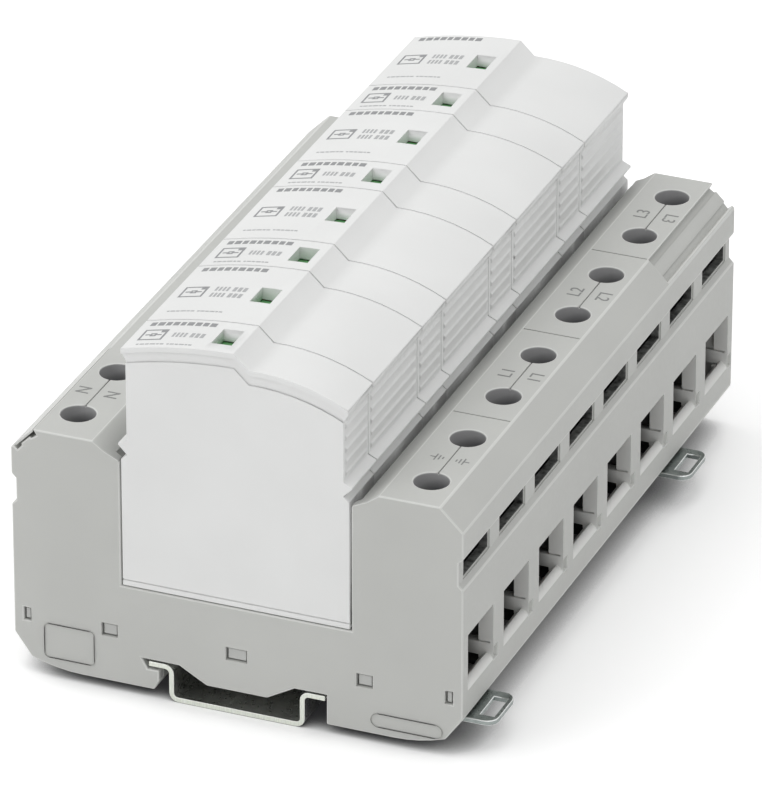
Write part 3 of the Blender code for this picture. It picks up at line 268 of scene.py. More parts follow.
# The greys below, after the first, are painted highlight, painted shade and painted light on the
# same plastic.
EDGE_HIGHLIGHT_GREY = (0.64, 0.646, 0.625)
INSIDE_SHADE_BLACK = (0.006, 0.007, 0.006)
INSIDE_SHADE_GREY = (0.045, 0.047, 0.044)
VENT_SHADE_GREY = (0.20, 0.205, 0.196)
JAMB_LIGHT_GREY = (0.74, 0.746, 0.725)
CHEEK_SHADE_GREY = (0.20, 0.203, 0.196)
BORE_RIM_SHADE_GREY = (0.42, 0.42, 0.425)
BORE_DEEP_SHADE_GREY = (0.06, 0.06, 0.064)
SLOPE_SHADE_GREY = (0.20, 0.203, 0.197)
LINE_SHADE_GREY = (0.20, 0.203, 0.197)
SLOPE_X = (0.0205, 0.0290)
SLOPE_DEPTH = 0.0056
LINE_DEPTH = (0.0002, 0.0004)
BORE_ROOM = 0.0003
BORE_FIT = 0.0001
BORE_RIM = 0.0003
BORE_DARK = 0.0036
BORE_REACH = 0.0033
DEPTH_LIGHT = (0.0, 0.4)
ACROSS_LIGHT = (0.25, 0.55)
TERMINAL_X = 0.0348
INSIDE_X = (0.0243, 0.0417)
INSIDE_Y = 0.0695
INSIDE_Z = (0.009, 0.0482)
CHEEK_Z = (0.0134, 0.0166)
VENT_X = (0.0414, 0.04335)
VENT_Z = (0.0363, 0.0400)
JAMB_X = (0.0414, 0.0446)
CHEEK_X = (0.0350, 0.0385, 0.0418)
JAMB_Z = (0.0110, 0.0248)
CREST_TURN = 0.3
SLOPE_TURN = 0.2
OPENING_EDGE = 0.0001
OPENING_LONGEST = 0.0135
SIDE_OPENINGS_Z = (0.0125, 0.0405)
END_OPENINGS_Z = (0.0106, 0.0141)
END_OPENINGS_Y = 0.069
TERMINALS = ("pe_1", "pe_2", "l1_1", "l1_2", "l2_1", "l2_2", "l3_1", "l3_2", "n_1", "n_2")
BLOCK_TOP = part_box("base_housing")[1].z
# Slots: plain, painted highlight, painted shade in chambers, bores, slopes and lines, painted light
# and shade on jambs, painted shade in vents.
EDGE, INSIDE, BORE, SLOPE, LINE, JAMB, VENT = range(1, 8)


def add_axis(tree, place, axis):
    """One coordinate of the place that patterns read."""
    split = tree.nodes.new("ShaderNodeSeparateXYZ")
    tree.links.new(place, split.inputs["Vector"])
    return split.outputs[axis]


def add_math(tree, operation, first, second=0.0):
    """One step of arithmetic on a value, with a socket or a number."""
    step = tree.nodes.new("ShaderNodeMath")
    step.operation = operation
    tree.links.new(first, step.inputs[0])
    if isinstance(second, float):
        step.inputs[1].default_value = second
    else:
        tree.links.new(second, step.inputs[1])
    return step.outputs["Value"]


def darker_below(name, colour, deep, low, high):
    """Moulded plastic painted darker between two heights: painted shade where less light reaches it.
    """
    made, tree, shader, place = new_finish(name, colour, 0.55)
    height = add_range(tree, add_axis(tree, place, "Z"), NOISE_LOW, NOISE_HIGH, low, high)
    tree.links.new(add_tint(tree, height, deep, colour), shader.inputs["Base Color"])
    add_bump(tree, shader, add_noise(tree, place, 5500, 2.0), 0.000014, 0.5)
    return made


def shaded_bore(name, rim, deep):
    """The same plastic in a round hole, painted darker with depth and away from the light: painted
    shade.
    """
    made, tree, shader, place = new_finish(name, rim, 0.6)
    dark, rim_height = BLOCK_TOP - BORE_DARK, BLOCK_TOP - BORE_RIM
    depth = add_range(tree, add_axis(tree, place, "Z"), *DEPTH_LIGHT, dark, rim_height)
    reach = add_axis(tree, place, "X")
    middle = add_math(tree, "MULTIPLY", add_math(tree, "SIGN", reach), TERMINAL_X)
    offset = add_math(tree, "SUBTRACT", reach, middle)
    across = add_range(tree, offset, *ACROSS_LIGHT, BORE_REACH, -BORE_REACH)
    lit = add_math(tree, "ADD", across, depth)
    tint = add_tint(tree, lit, deep, rim)
    tree.links.new(tint, shader.inputs["Base Color"])
    add_bump(tree, shader, add_noise(tree, place, 5500, 2.0), 0.000014, 0.5)
    return made


def painted_inside_shade(name, darkest, palest):
    """The plastic deep in a chamber, painted near black in dark blotches: painted shade."""
    made, tree, shader, place = new_finish(name, darkest, 0.7)
    blotch = add_noise(tree, place, 700, 3.0)
    tree.links.new(add_tint(tree, blotch, darkest, palest), shader.inputs["Base Color"])
    return made


def frames_opening(edge):
    """Whether an edge frames a wire entry, a vent, a recess or a small window."""
    if edge.calc_length() > OPENING_LONGEST:
        return False
    spots = [corner.co for corner in edge.verts]
    if any(abs(spot.y) > cad_high.y - JOIN for spot in spots):
        low, high = END_OPENINGS_Z
        return all(low < spot.z < high and abs(spot.x) < JAMB_X[0] for spot in spots)
    low, high = SIDE_OPENINGS_Z
    at_side = all(low < spot.z < high and abs(spot.x) > JAMB_X[0] for spot in spots)
    low, high = END_OPENINGS_Z
    at_end = all(low < spot.z < high and abs(spot.y) > END_OPENINGS_Y for spot in spots)
    return at_side or at_end


def is_larger_edge(edge):
    """Whether an edge belongs to the body of the housing."""
    return not frames_opening(edge)


def light_outwards_shade_inwards(name, inner, outer, low, high):
    """Moulded plastic painted paler at the outside of a side wall and darker inwards: painted light
    and shade.
    """
    made, tree, shader, place = new_finish(name, outer, 0.5)
    reach = add_math(tree, "ABSOLUTE", add_axis(tree, place, "X"))
    share = add_range(tree, reach, NOISE_LOW, NOISE_HIGH, low, high)
    tree.links.new(add_tint(tree, share, inner, outer), shader.inputs["Base Color"])
    add_bump(tree, shader, add_noise(tree, place, 5500, 2.0), 0.000014, 0.5)
    return made


# Jambs are painted paler and the cheeks behind them darker: painted light and painted shade.
def in_jamb(face):
    """Whether a face is a side or the crest of a wire entry, with the cheek behind it."""
    spots = [corner.co for corner in face.verts]
    if any(not CHEEK_X[0] < abs(spot.x) < JAMB_X[1] for spot in spots):
        return False
    if any(not JAMB_Z[0] < spot.z < JAMB_Z[1] for spot in spots):
        return False
    return abs(face.normal.y) > FACING or face.normal.z > CREST_TURN


# Slopes down to the plugs are painted darker towards the plugs as painted shade.
def on_slope(face):
    """Whether a face slopes from a block's top down to the plugs."""
    if any(not SLOPE_X[0] < abs(corner.co.x) < SLOPE_X[1] for corner in face.verts):
        return False
    if any(corner.co.z < BLOCK_TOP - SLOPE_DEPTH for corner in face.verts):
        return False
    centre = face.calc_center_median()
    return abs(face.normal.x) > SLOPE_TURN and face.normal.x * centre.x < 0.0


# The bottoms of the dividing lines are painted darker: painted shade in the grooves.
def in_line(face):
    """Whether a face is the bottom of a dividing line on a block's top."""
    depths = [BLOCK_TOP - corner.co.z for corner in face.verts]
    return all(LINE_DEPTH[0] < depth < LINE_DEPTH[1] for depth in depths)


# Vent walls are painted near black as painted shade.
def in_vent(face):
    """Whether a face is part of the walls of a vent."""
    spots = [corner.co for corner in face.verts]
    in_wall = all(VENT_X[0] < abs(spot.x) < VENT_X[1] for spot in spots)
    return in_wall and all(VENT_Z[0] < spot.z < VENT_Z[1] for spot in spots)


def in_bore(face):
    """Whether a face is part of the wall of a round hole."""
    for axis, radius in bores:
        away = [math.hypot(corner.co.x - axis.x, corner.co.y - axis.y) for corner in face.verts]
        if all(abs(reach - radius) < BORE_FIT for reach in away):
            return True
    return False


# Faces inside the chambers are painted near black as painted shade.
def in_chamber(face):
    """Whether a face lies wholly inside a terminal's chamber, away from the wire's cheek."""
    places = [corner.co for corner in face.verts]
    if any(not INSIDE_X[0] < abs(spot.x) < INSIDE_X[1] or abs(spot.y) > INSIDE_Y for spot in places):
        return False
    if any(not INSIDE_Z[0] < spot.z < INSIDE_Z[1] for spot in places):
        return False
    return any(not CHEEK_Z[0] < spot.z < CHEEK_Z[1] for spot in places)


housing_plastic = moulded_plastic("housing_plastic", HOUSING_GREY, 0.5, 0.000014)
housing_finishes = [
    housing_plastic,
    moulded_plastic("housing_edge_highlight", EDGE_HIGHLIGHT_GREY, 0.45, 0.000008),
    painted_inside_shade("housing_inside_shade", INSIDE_SHADE_BLACK, INSIDE_SHADE_GREY),
    shaded_bore("housing_bore_shade", BORE_RIM_SHADE_GREY, BORE_DEEP_SHADE_GREY),
    darker_below("housing_slope_shade", HOUSING_GREY, SLOPE_SHADE_GREY, BLOCK_TOP - SLOPE_DEPTH, BLOCK_TOP),
    moulded_plastic("housing_line_shade", LINE_SHADE_GREY, 0.6, 0.000014),
    light_outwards_shade_inwards("housing_jamb_light_and_shade", CHEEK_SHADE_GREY, JAMB_LIGHT_GREY, *CHEEK_X[1:]),
    painted_inside_shade("housing_vent_shade", INSIDE_SHADE_BLACK, VENT_SHADE_GREY),
]
bores = []
for terminal in TERMINALS:
    screw_low, screw_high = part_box(f"terminal_screw_{terminal}")
    bores.append(((screw_low + screw_high) / 2, (screw_high.x - screw_low.x) / 2 + BORE_ROOM))
housing = merged("base_housing")
round_edges(housing, OPENING_EDGE, 50, is_larger_edge)
# These rounded edges take the paler edge grey: a painted highlight.
for side in round_edges(housing, HOUSING_EDGE, 25, frames_opening):
    side.material_index = EDGE
places = [
    (in_chamber, INSIDE),
    (in_vent, VENT),
    (in_jamb, JAMB),
    (in_bore, BORE),
    (on_slope, SLOPE),
    (in_line, LINE),
]
for side in housing.faces:
    found = [finish for fits, finish in places if fits(side)]
    if found:
        side.material_index = found[0]
add_piece("housing_shell", housing, "base", housing_finishes, ["base_housing"])


# Marker strip
# A flat plastic strip for the terminals' numbers, snapped into the channel along the left block.
# It is extruded, paler than the housing, and left blank.
STRIP_EDGE = 0.00008
STRIP_GREY = (0.58, 0.586, 0.565)

strip_plastic = moulded_plastic("strip_plastic", STRIP_GREY, 0.42, 0.000006)
strip = merged("marker_strip")
round_edges(strip, STRIP_EDGE)
add_piece("blank_strip", strip, "base", [strip_plastic], ["marker_strip"])


# Moulded frames
# Two raised outlines stand on the front wall of the housing, on both sides of the rail:
# a rounded square on the left and a long capsule on the right. Both are left bare.
FRAME_HEIGHT = 0.00025
FRAME_WIDTH = 0.0005
FRAME_SINK = 0.0001
FRAMES = {
    "square_frame": ((-0.0384, -0.0284), (0.0042, 0.0113), 0.0009),
    "capsule_frame": ((0.0266, 0.0406), (0.0034, 0.0062), 0.00138),
}
CORNER_STEPS = 6


def rounded_rectangle(bm, x, z, y, radius):
    """Corners of a rounded rectangle in an upright plane, as new points in turn."""
    points = []
    middles = [(x[1], z[1], 0), (x[0], z[1], 1), (x[0], z[0], 2), (x[1], z[0], 3)]
    for corner_x, corner_z, quarter in middles:
        centre_x = min(max(corner_x, x[0] + radius), x[1] - radius)
        centre_z = min(max(corner_z, z[0] + radius), z[1] - radius)
        for step in range(CORNER_STEPS + 1):
            angle = (quarter + step / CORNER_STEPS) * math.pi / 2
            across = centre_x + radius * math.cos(angle)
            up = centre_z + radius * math.sin(angle)
            points.append(bm.verts.new((across, y, up)))
    return points


for label, (x, z, radius) in FRAMES.items():
    ridge = bmesh.new()
    outer = ridge.faces.new(rounded_rectangle(ridge, x, z, cad_low.y + FRAME_SINK, radius))
    ring = bmesh.ops.inset_region(
        ridge, faces=[outer], thickness=FRAME_WIDTH, use_boundary=True, use_even_offset=True
    )["faces"]
    bmesh.ops.delete(ridge, geom=[outer], context="FACES_ONLY")
    grown = bmesh.ops.extrude_face_region(ridge, geom=ring)["geom"]
    raised = [item for item in grown if isinstance(item, bmesh.types.BMVert)]
    rise = Vector((0.0, -FRAME_SINK - FRAME_HEIGHT, 0.0))
    bmesh.ops.translate(ridge, verts=raised, vec=rise)
    bmesh.ops.recalc_face_normals(ridge, faces=ridge.faces)
    round_edges(ridge, FRAME_HEIGHT * 0.5)
    add_piece(label, ridge, "base", [housing_plastic])


# Terminal marks
# Each pair of terminals is marked twice beside its line, once for each way of reading:
# an earth sign, L1, L2 and L3 on the right block, and N on the left. They are printed.
MODULE = 0.0178
MARK_OFFSET = 0.0027
MARK_SIZE = 0.0037
MARK_THIN = 0.00001
MARK_THICKNESS = 0.00004
EARTH_STEM = 0.0011
EARTH_STROKE = 0.00026
EARTH_BARS = ((0.0, 0.0024), (0.0007, 0.0016), (0.0014, 0.0008))


def printed_ink(name, colour):
    """Thin print that lets a little of the ground through where it is worn."""
    made, tree, shader, place = new_finish(name, colour, 0.6)
    speck = add_noise(tree, place, 4000, 4.0)
    paler = [share * 1.35 for share in colour]
    tree.links.new(add_tint(tree, speck, colour, paler), shader.inputs["Base Color"])
    return made


def add_word(bm, word, size, thickness, place):
    """Add flat lettering, centred on the origin and then moved by the matrix."""
    curve = bpy.data.curves.new(word, "FONT")
    curve.body = word
    curve.size = size
    curve.offset = MARK_THIN
    curve.extrude = thickness
    curve.align_x = "CENTER"
    curve.align_y = "CENTER"
    lettering = bpy.data.objects.new(word, curve)
    bpy.context.scene.collection.objects.link(lettering)
    bpy.context.view_layer.update()
    mesh = bpy.data.meshes.new_from_object(lettering)
    mesh.transform(place)
    bm.from_mesh(mesh)
    bpy.data.objects.remove(lettering, do_unlink=True)


def add_slab(bm, x, y, thickness, place):
    """Add a flat bar from (low, high) pairs, moved by the matrix."""
    size = Vector((x[1] - x[0], y[1] - y[0], 2 * thickness, 1.0))
    middle = Matrix.Translation(((x[0] + x[1]) / 2, (y[0] + y[1]) / 2, 0.0))
    bmesh.ops.create_cube(bm, size=1.0, matrix=place @ middle @ Matrix.Diagonal(size))


def add_earth(bm, place):
    """An earth sign with its stem up and its bars getting shorter below."""
    half = EARTH_STROKE / 2
    add_slab(bm, (-half, half), (0.0, EARTH_STEM), MARK_THICKNESS, place)
    for drop, width in EARTH_BARS:
        add_slab(bm, (-width / 2, width / 2), (-drop - half, -drop + half), MARK_THICKNESS, place)


mark_ink = printed_ink("mark_ink", (0.20, 0.205, 0.20))
marks = bmesh.new()
pairs = [("earth", 1, 0), ("L1", 1, 1), ("L2", 1, 2), ("L3", 1, 3), ("N", -1, 0)]
for word, block, pair in pairs:
    middle_y = cad_low.y + (2 * pair + 1) * MODULE
    for way in (-1, 1):
        spot = Vector((block * TERMINAL_X + way * MARK_OFFSET, middle_y, BLOCK_TOP))
        turn = Euler((0.0, 0.0, -way * math.pi / 2)).to_matrix().to_4x4()
        place = Matrix.Translation(spot) @ turn
        if word == "earth":
            add_earth(marks, place)
        else:
            add_word(marks, word, MARK_SIZE, MARK_THICKNESS, place)
add_piece("terminal_marks", marks, "base", [mark_ink])


# Terminal screws and clamp cages
# Under each round hole a zinc-plated screw with a cross recess lifts a folded steel cage,
# which presses the wire up against the end of the busbar.
# Their zinc is painted dark and the cages near black: painted shade of the holes and chambers.
SCREW_EDGE = 0.0001

screw_zinc_shade = zinc_plate("screw_zinc_shade", (0.20, 0.21, 0.21), (0.30, 0.31, 0.31), "Z")
cage_zinc_shade = zinc_plate("cage_zinc_shade", (0.05, 0.052, 0.05), (0.09, 0.092, 0.088), "Y")
for terminal in TERMINALS:
    screw = merged(f"terminal_screw_{terminal}")
    round_edges(screw, SCREW_EDGE, 40)
    solids = [f"terminal_screw_{terminal}"]
    add_piece(f"screw_{terminal}", screw, f"screw_{terminal}", [screw_zinc_shade], solids)
    cage = merged(f"clamp_cage_{terminal}")
    round_edges(cage, SCREW_EDGE, 40)
    solids = [f"clamp_cage_{terminal}"]
    add_piece(f"cage_{terminal}", cage, f"cage_{terminal}", [cage_zinc_shade], solids)


# Busbars
# Bare copper strip, stamped and bent: a plate with a fork for each plug's blade and an arm
# that rises into each clamp. The long one on the left joins all plugs to the N terminals.
BAR_EDGE = 0.0001


def rolled_copper(name, first, last):
    """Bare rolled copper, slightly dulled in patches."""
    made, tree, shader, place = new_finish(name, first, 0.3, 1.0)
    patch = add_noise(tree, place, 300, 4.0)
    tree.links.new(add_tint(tree, patch, first, last), shader.inputs["Base Color"])
    tree.links.new(add_range(tree, patch, 0.22, 0.42), shader.inputs["Roughness"])
    lines = add_noise(tree, place, 5000, 2.0, (1.0, 0.04, 1.0))
    add_bump(tree, shader, lines, 0.000006, 0.5)
    return made


copper = rolled_copper("copper", (0.62, 0.33, 0.22), (0.80, 0.47, 0.34))
for line in ("pe", "l1", "l2", "l3", "n"):
    bar = merged(f"busbar_{line}")
    round_edges(bar, BAR_EDGE)
    add_piece(f"bar_{line}", bar, "base", [copper], [f"busbar_{line}"])


# Foot latches
# Stamped from 1 mm steel, bent once and plated. The loop outside the wall takes a screwdriver,
# which pulls the latch's inner end clear of the rail.
LATCH_EDGE = 0.00014
# The zinc is painted darker on the loop and paler on its rounded edges: painted shade and painted
# highlight.

latch_zinc_shade = zinc_plate("latch_zinc_shade", (0.24, 0.27, 0.26), (0.34, 0.37, 0.36), "X")
latch_zinc_highlight = zinc_plate("latch_zinc_highlight", (0.62, 0.64, 0.63), (0.78, 0.80, 0.79), "X")
for end in ("front", "rear"):
    latch = merged(f"foot_latch_{end}")
    for side in round_edges(latch, LATCH_EDGE):
        side.material_index = 1
    solids = [f"foot_latch_{end}"]
    finishes = [latch_zinc_shade, latch_zinc_highlight]
    add_piece(f"latch_{end}_loop", latch, f"latch_{end}", finishes, solids)


# Plug housings
# White caps moulded with a satin surface, narrow and wide in turn. Each has a lip and a shallow
# band round its faces, grip ribs on both ends and a knob above the base.
PLUGS = range(1, 9)
PLUG_EDGE = 0.00013
PLUG_SHARP = math.radians(80)
# Grey to black on the flank below the knob: painted shade between plug and base.
NECK_X = (0.0212, 0.0216)
NECK_Z = (0.0483, 0.0495)
NECK_SHADE = (0.02, 0.02, 0.02)
NECK_SHADE_GREY = (0.50, 0.505, 0.50)
PLUG_WHITE = (0.785, 0.79, 0.783)


def beside_window(edge):
    """Whether an edge belongs to the status window, which has sharp edges."""
    spots = [corner.co for corner in edge.verts]
    inside_x = all(flag_low.x < spot.x < flag_high.x for spot in spots)
    return inside_x and all(flag_low.y < spot.y < flag_high.y for spot in spots)


def on_neck(face):
    """Whether a face is the plug's flank below its knob, between the plug and the base."""
    spots = [corner.co for corner in face.verts]
    at_flank = all(NECK_X[0] < abs(spot.x) < NECK_X[1] for spot in spots)
    return at_flank and all(spot.z < BLOCK_TOP for spot in spots)


plug_plastic = moulded_plastic("plug_plastic", PLUG_WHITE, 0.42, 0.000008)
plug_neck_shade = darker_below("plug_neck_shade", NECK_SHADE_GREY, NECK_SHADE, *NECK_Z)
roofs = {}
for number in PLUGS:
    cap = merged(f"plug_housing_{number}")
    flag_low, flag_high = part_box(f"status_flag_{number}")
    round_edges(cap, PLUG_EDGE, spared=beside_window)
    roofs[number] = BVHTree.FromBMesh(cap)
    # The flank below the knob is painted from grey to black as painted shade.
    for side in cap.faces:
        if on_neck(side):
            side.material_index = 1
    solids = [f"plug_housing_{number}"]
    finishes = [plug_plastic, plug_neck_shade]
    add_piece(f"cap_{number}", cap, f"plug_{number}", finishes, solids, PLUG_SHARP)


# Arrester elements
# The block inside each plug is coated dark. Two bare contact blades stand out of its base plate,
# and the top of its tower is red: it shows in the window once the flag has moved away.
ELEMENT_EDGE = 0.00015
BLADE_END = 0.0222
TOWER_RED_DEPTH = 0.0002

element_dark = moulded_plastic("element_dark", (0.055, 0.062, 0.07), 0.5, 0.00001)
blade_metal = rolled_copper("blade_metal", (0.60, 0.58, 0.52), (0.78, 0.76, 0.68))
signal_red = moulded_plastic("signal_red", (0.55, 0.03, 0.02), 0.4, 0.000004)
for number in PLUGS:
    element = merged(f"arrester_insert_{number}")
    round_edges(element, ELEMENT_EDGE, 40)
    tower_top = max(corner.co.z for corner in element.verts)
    for side in element.faces:
        centre = side.calc_center_median()
        if centre.z < BLADE_END:
            side.material_index = 1
        elif centre.z > tower_top - TOWER_RED_DEPTH:
            side.material_index = 2
    finishes = [element_dark, blade_metal, signal_red]
    solids = [f"arrester_insert_{number}"]
    add_piece(f"element_{number}", element, f"plug_{number}", finishes, solids)


# Status flags
# A green plastic slide lies under the window in each plug's roof. The thermal release pulls it
# to the left when the arrester has failed.
FLAG_EDGE = 0.0001

flag_green = moulded_plastic("flag_green", (0.16, 0.42, 0.17), 0.35, 0.000004)
for number in PLUGS:
    flag = merged(f"status_flag_{number}")
    round_edges(flag, FLAG_EDGE)
    solids = [f"status_flag_{number}"]
    add_piece(f"flag_slide_{number}", flag, f"flag_{number}", [flag_green], solids)


# Plug labels
# The left half of each roof is printed in grey: a row of blocks along the rear edge, a boxed
# sign, small hatched fields and a thin line along the front edge. It holds no words.
PRINT_RISE = 0.00003
PRINT_SINK = 0.00006
PRINT_COLUMN = 0.0008
PRINT_STROKE = 0.00038
ABOVE_ROOFS = 0.1
TITLE_X = (-0.0204, -0.0074)
TITLE_WIDTHS = (10, 11, 9, 10, 8, 11, 10, 9, 11)
TITLE_GAP = 0.00038
TITLE_HEIGHT = 0.0014
TITLE_INSET = 0.0011
FINE_LEFT = (-0.0197, -0.0143)
FINE_RIGHT = (-0.0137, -0.0088)
FINE_WIDTHS = (3, 5, 4, 6, 3, 4)
FINE_GAP = 0.0002
FINE_HEIGHT = 0.00042
FINE_INSET_NARROW = 0.0011
FINE_INSET_WIDE = 0.0032
SIGN_X = (-0.0203, -0.0156)
SIGN_HALF = 0.0022
SIGN_SQUARE_HALF = 0.0006
SIGN_SHIFT = 0.0006
SIGN_CORNER = (0.0013, 0.0012)
FIELD_X = (-0.0141, -0.0114)
FIELD_GAP = 0.00032
CODE_X = (-0.0106, -0.0079)
ROW_OFFSET = 0.0013
ROW_HALF = 0.00085


def add_print(bm, roof, x, y):
    """Add a printed bar from (low, high) pairs, laid on the roof in narrow columns."""
    columns = max(1, math.ceil((x[1] - x[0]) / PRINT_COLUMN))
    rows = []
    for column in range(columns + 1):
        across = x[0] + (x[1] - x[0]) * column / columns
        ends = []
        for along in y:
            start = Vector((across, along, ABOVE_ROOFS))
            spot = roof.ray_cast(start, Vector((0.0, 0.0, -1.0)))[0]
            ends.append(bm.verts.new((across, along, spot.z + PRINT_RISE)))
        rows.append(ends)
    faces = []
    for (a, b), (d, c) in zip(rows, rows[1:]):
        faces.append(bm.faces.new((a, d, c, b)))
    grown = bmesh.ops.extrude_face_region(bm, geom=faces)["geom"]
    lowered = [item for item in grown if isinstance(item, bmesh.types.BMVert)]
    bmesh.ops.translate(bm, verts=lowered, vec=(0.0, 0.0, -PRINT_RISE - PRINT_SINK))


def add_frame(bm, roof, x, y):
    """Add a printed rectangle that is open inside."""
    stroke = PRINT_STROKE
    add_print(bm, roof, x, (y[0], y[0] + stroke))
    add_print(bm, roof, x, (y[1] - stroke, y[1]))
    add_print(bm, roof, (x[0], x[0] + stroke), (y[0] + stroke, y[1] - stroke))
    add_print(bm, roof, (x[1] - stroke, x[1]), (y[0] + stroke, y[1] - stroke))


def add_row(bm, roof, x, y, widths, gap):
    """A row of solid blocks of uneven width that stands for a line of print."""
    room = x[1] - x[0] - gap * (len(widths) - 1)
    start = x[0]
    for share in widths:
        end = start + room * share / sum(widths)
        add_print(bm, roof, (start, end), y)
        start = end + gap


def add_sign(bm, roof, y):
    """A boxed arrester sign: a small square between two leads."""
    add_frame(bm, roof, SIGN_X, y)
    middle_x = (SIGN_X[0] + SIGN_X[1]) / 2
    middle_y = (y[0] + y[1]) / 2
    half = SIGN_SQUARE_HALF
    add_frame(bm, roof, (middle_x - half, middle_x + half), (middle_y - half, middle_y + half))
    lead = (middle_y - PRINT_STROKE / 2, middle_y + PRINT_STROKE / 2)
    add_print(bm, roof, (SIGN_X[0] + 2 * PRINT_STROKE, middle_x - half), lead)
    add_print(bm, roof, (middle_x + half, SIGN_X[1] - 2 * PRINT_STROKE), lead)
    corner = (SIGN_X[1] - SIGN_CORNER[0], SIGN_X[1] - PRINT_STROKE)
    add_print(bm, roof, corner, (y[1] - SIGN_CORNER[1], y[1] - PRINT_STROKE))


label_ink = printed_ink("label_ink", (0.24, 0.245, 0.25))
fine_ink = printed_ink("fine_ink", (0.36, 0.365, 0.37))
for number in PLUGS:
    low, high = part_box(f"plug_housing_{number}")
    middle = (low.y + high.y) / 2
    wide = number % 2 == 0
    roof = roofs[number]
    bold = bmesh.new()
    title_y = (high.y - TITLE_INSET - TITLE_HEIGHT, high.y - TITLE_INSET)
    add_row(bold, roof, TITLE_X, title_y, TITLE_WIDTHS, TITLE_GAP)
    sign_middle = middle - (0.0 if wide else SIGN_SHIFT)
    add_sign(bold, roof, (sign_middle - SIGN_HALF, sign_middle + SIGN_HALF))
    bmesh.ops.recalc_face_normals(bold, faces=bold.faces)
    add_piece(f"label_bold_{number}", bold, f"plug_{number}", [label_ink])

    fine = bmesh.new()
    inset = FINE_INSET_WIDE if wide else FINE_INSET_NARROW
    fine_y = (low.y + inset, low.y + inset + FINE_HEIGHT)
    add_row(fine, roof, FINE_LEFT, fine_y, FINE_WIDTHS, FINE_GAP)
    add_row(fine, roof, FINE_RIGHT, fine_y, FINE_WIDTHS, FINE_GAP)
    for offset in (-ROW_OFFSET, ROW_OFFSET) if wide else (0.0,):
        row = sign_middle + offset
        row_y = (row - ROW_HALF, row + ROW_HALF)
        add_row(fine, roof, FIELD_X, row_y, (1, 1, 1, 1), FIELD_GAP)
        add_row(fine, roof, CODE_X, row_y, (1, 1, 1), FIELD_GAP)
    bmesh.ops.recalc_face_normals(fine, faces=fine.faces)
    add_piece(f"label_fine_{number}", fine, f"plug_{number}", [fine_ink])


# Floor, light and camera
# The arrester stands on its rail on a plain white floor, under a wide soft light from above
# and the left, in a white studio. The camera stands in front, above and to the right.
FLOOR_SIZE = 6.0
FLOOR_DROP = 0.00005
FLOOR_GLOW = 0.2
FLOOR_WHITE = (0.86, 0.86, 0.86)
SHADE_GREY = (0.06, 0.06, 0.064)
SHADE_REACH = 0.02
SHADE_RAMP = (0.1, 0.62)
LAMPS = {
    "overhead_lamp": ((-0.15, -0.05, 1.1), 1.2, 4.9),
    "left_lamp": ((-0.9, -0.9, 0.8), 0.9, 4.0),
    "right_lamp": ((1.0, -0.5, 0.6), 0.9, 0.7),
}
LAMP_TARGET = (0.0, 0.0, 0.03)
SKY_LIGHT, SKY_SEEN = 0.60, 1.0
CAMERA_PLACE = (0.53258, -1.31368, 0.7729)
CAMERA_AZIMUTH = math.radians(22.08)
CAMERA_TILT = math.radians(27.63)
CAMERA_LENS = 383.0


def seen_rays(tree):
    """One for camera, glossy and transmission rays, and nothing for the others."""
    path = tree.nodes.new("ShaderNodeLightPath")
    total = path.outputs["Is Camera Ray"]
    for other in ("Is Glossy Ray", "Is Transmission Ray"):
        total = add_math(tree, "MAXIMUM", total, path.outputs[other])
    return total


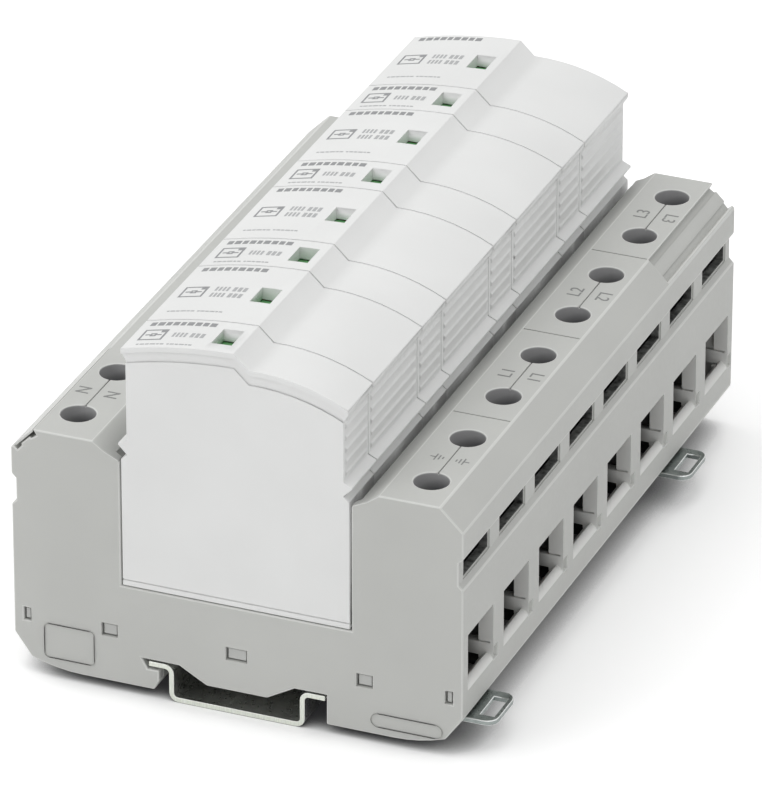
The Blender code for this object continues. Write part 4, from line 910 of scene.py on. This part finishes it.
def white_floor(name):
    """A matt white floor. To the camera it has a painted contact shadow, darker close to the part.
    """
    made, tree, shader, place = new_finish(name, FLOOR_WHITE, 0.85)
    near = tree.nodes.new("ShaderNodeAmbientOcclusion")
    near.inputs["Distance"].default_value = SHADE_REACH
    shade = tree.nodes.new("ShaderNodeValToRGB")
    shade.color_ramp.elements[0].position = SHADE_RAMP[0]
    shade.color_ramp.elements[0].color = (*SHADE_GREY, 1.0)
    shade.color_ramp.elements[1].position = SHADE_RAMP[1]
    shade.color_ramp.elements[1].color = (1.0, 1.0, 1.0, 1.0)
    tree.links.new(near.outputs["AO"], shade.inputs["Fac"])
    seen = seen_rays(tree)
    colour = tree.nodes.new("ShaderNodeMixRGB")
    colour.inputs["Color1"].default_value = (*FLOOR_WHITE, 1.0)
    tree.links.new(seen, colour.inputs["Fac"])
    tree.links.new(shade.outputs["Color"], colour.inputs["Color2"])
    tree.links.new(colour.outputs["Color"], shader.inputs["Base Color"])
    glow = tree.nodes.new("ShaderNodeEmission")
    tree.links.new(shade.outputs["Color"], glow.inputs["Color"])
    share = add_math(tree, "MULTIPLY", seen, FLOOR_GLOW)
    tree.links.new(share, glow.inputs["Strength"])
    both = tree.nodes.new("ShaderNodeAddShader")
    tree.links.new(shader.outputs["BSDF"], both.inputs[0])
    tree.links.new(glow.outputs["Emission"], both.inputs[1])
    surface = tree.nodes["Material Output"].inputs["Surface"]
    tree.links.new(both.outputs["Shader"], surface)
    return made


def add_lamp(name, place, target, size, watts):
    """A square soft lamp that faces its target."""
    lamp = bpy.data.lights.new(name, "AREA")
    lamp.size = size
    lamp.energy = watts
    stand = bpy.data.objects.new(name, lamp)
    stand.location = place
    aim = Vector(target) - Vector(place)
    stand.rotation_euler = aim.to_track_quat("-Z", "Y").to_euler()
    bpy.context.scene.collection.objects.link(stand)


ground = bmesh.new()
bmesh.ops.create_grid(ground, x_segments=1, y_segments=1, size=FLOOR_SIZE / 2)
bmesh.ops.translate(ground, verts=ground.verts, vec=(0.0, 0.0, -FLOOR_DROP))
ground_mesh = bpy.data.meshes.new("studio_floor")
ground.to_mesh(ground_mesh)
ground.free()
ground_mesh.materials.append(white_floor("studio_white"))
studio_floor = bpy.data.objects.new("studio_floor", ground_mesh)
bpy.context.scene.collection.objects.link(studio_floor)

for label, (place, size, watts) in LAMPS.items():
    add_lamp(label, place, LAMP_TARGET, size, watts)

world = bpy.data.worlds.new("studio")
world.use_nodes = True
sky = world.node_tree
backdrop = sky.nodes["Background"]
backdrop.inputs["Color"].default_value = (1.0, 1.0, 1.0, 1.0)
level = add_range(sky, seen_rays(sky), SKY_LIGHT, SKY_SEEN, 0.0, 1.0)
sky.links.new(level, backdrop.inputs["Strength"])
bpy.context.scene.world = world
bpy.context.scene.view_settings.view_transform = "Standard"

lens = bpy.data.cameras.new("camera")
lens.lens = CAMERA_LENS
lens.clip_start = 0.05
lens.clip_end = 20.0
camera = bpy.data.objects.new("camera", lens)
camera.location = CAMERA_PLACE
camera.rotation_euler = (math.pi / 2 - CAMERA_TILT, 0.0, CAMERA_AZIMUTH)
bpy.context.scene.collection.objects.link(camera)
bpy.context.scene.camera = camera
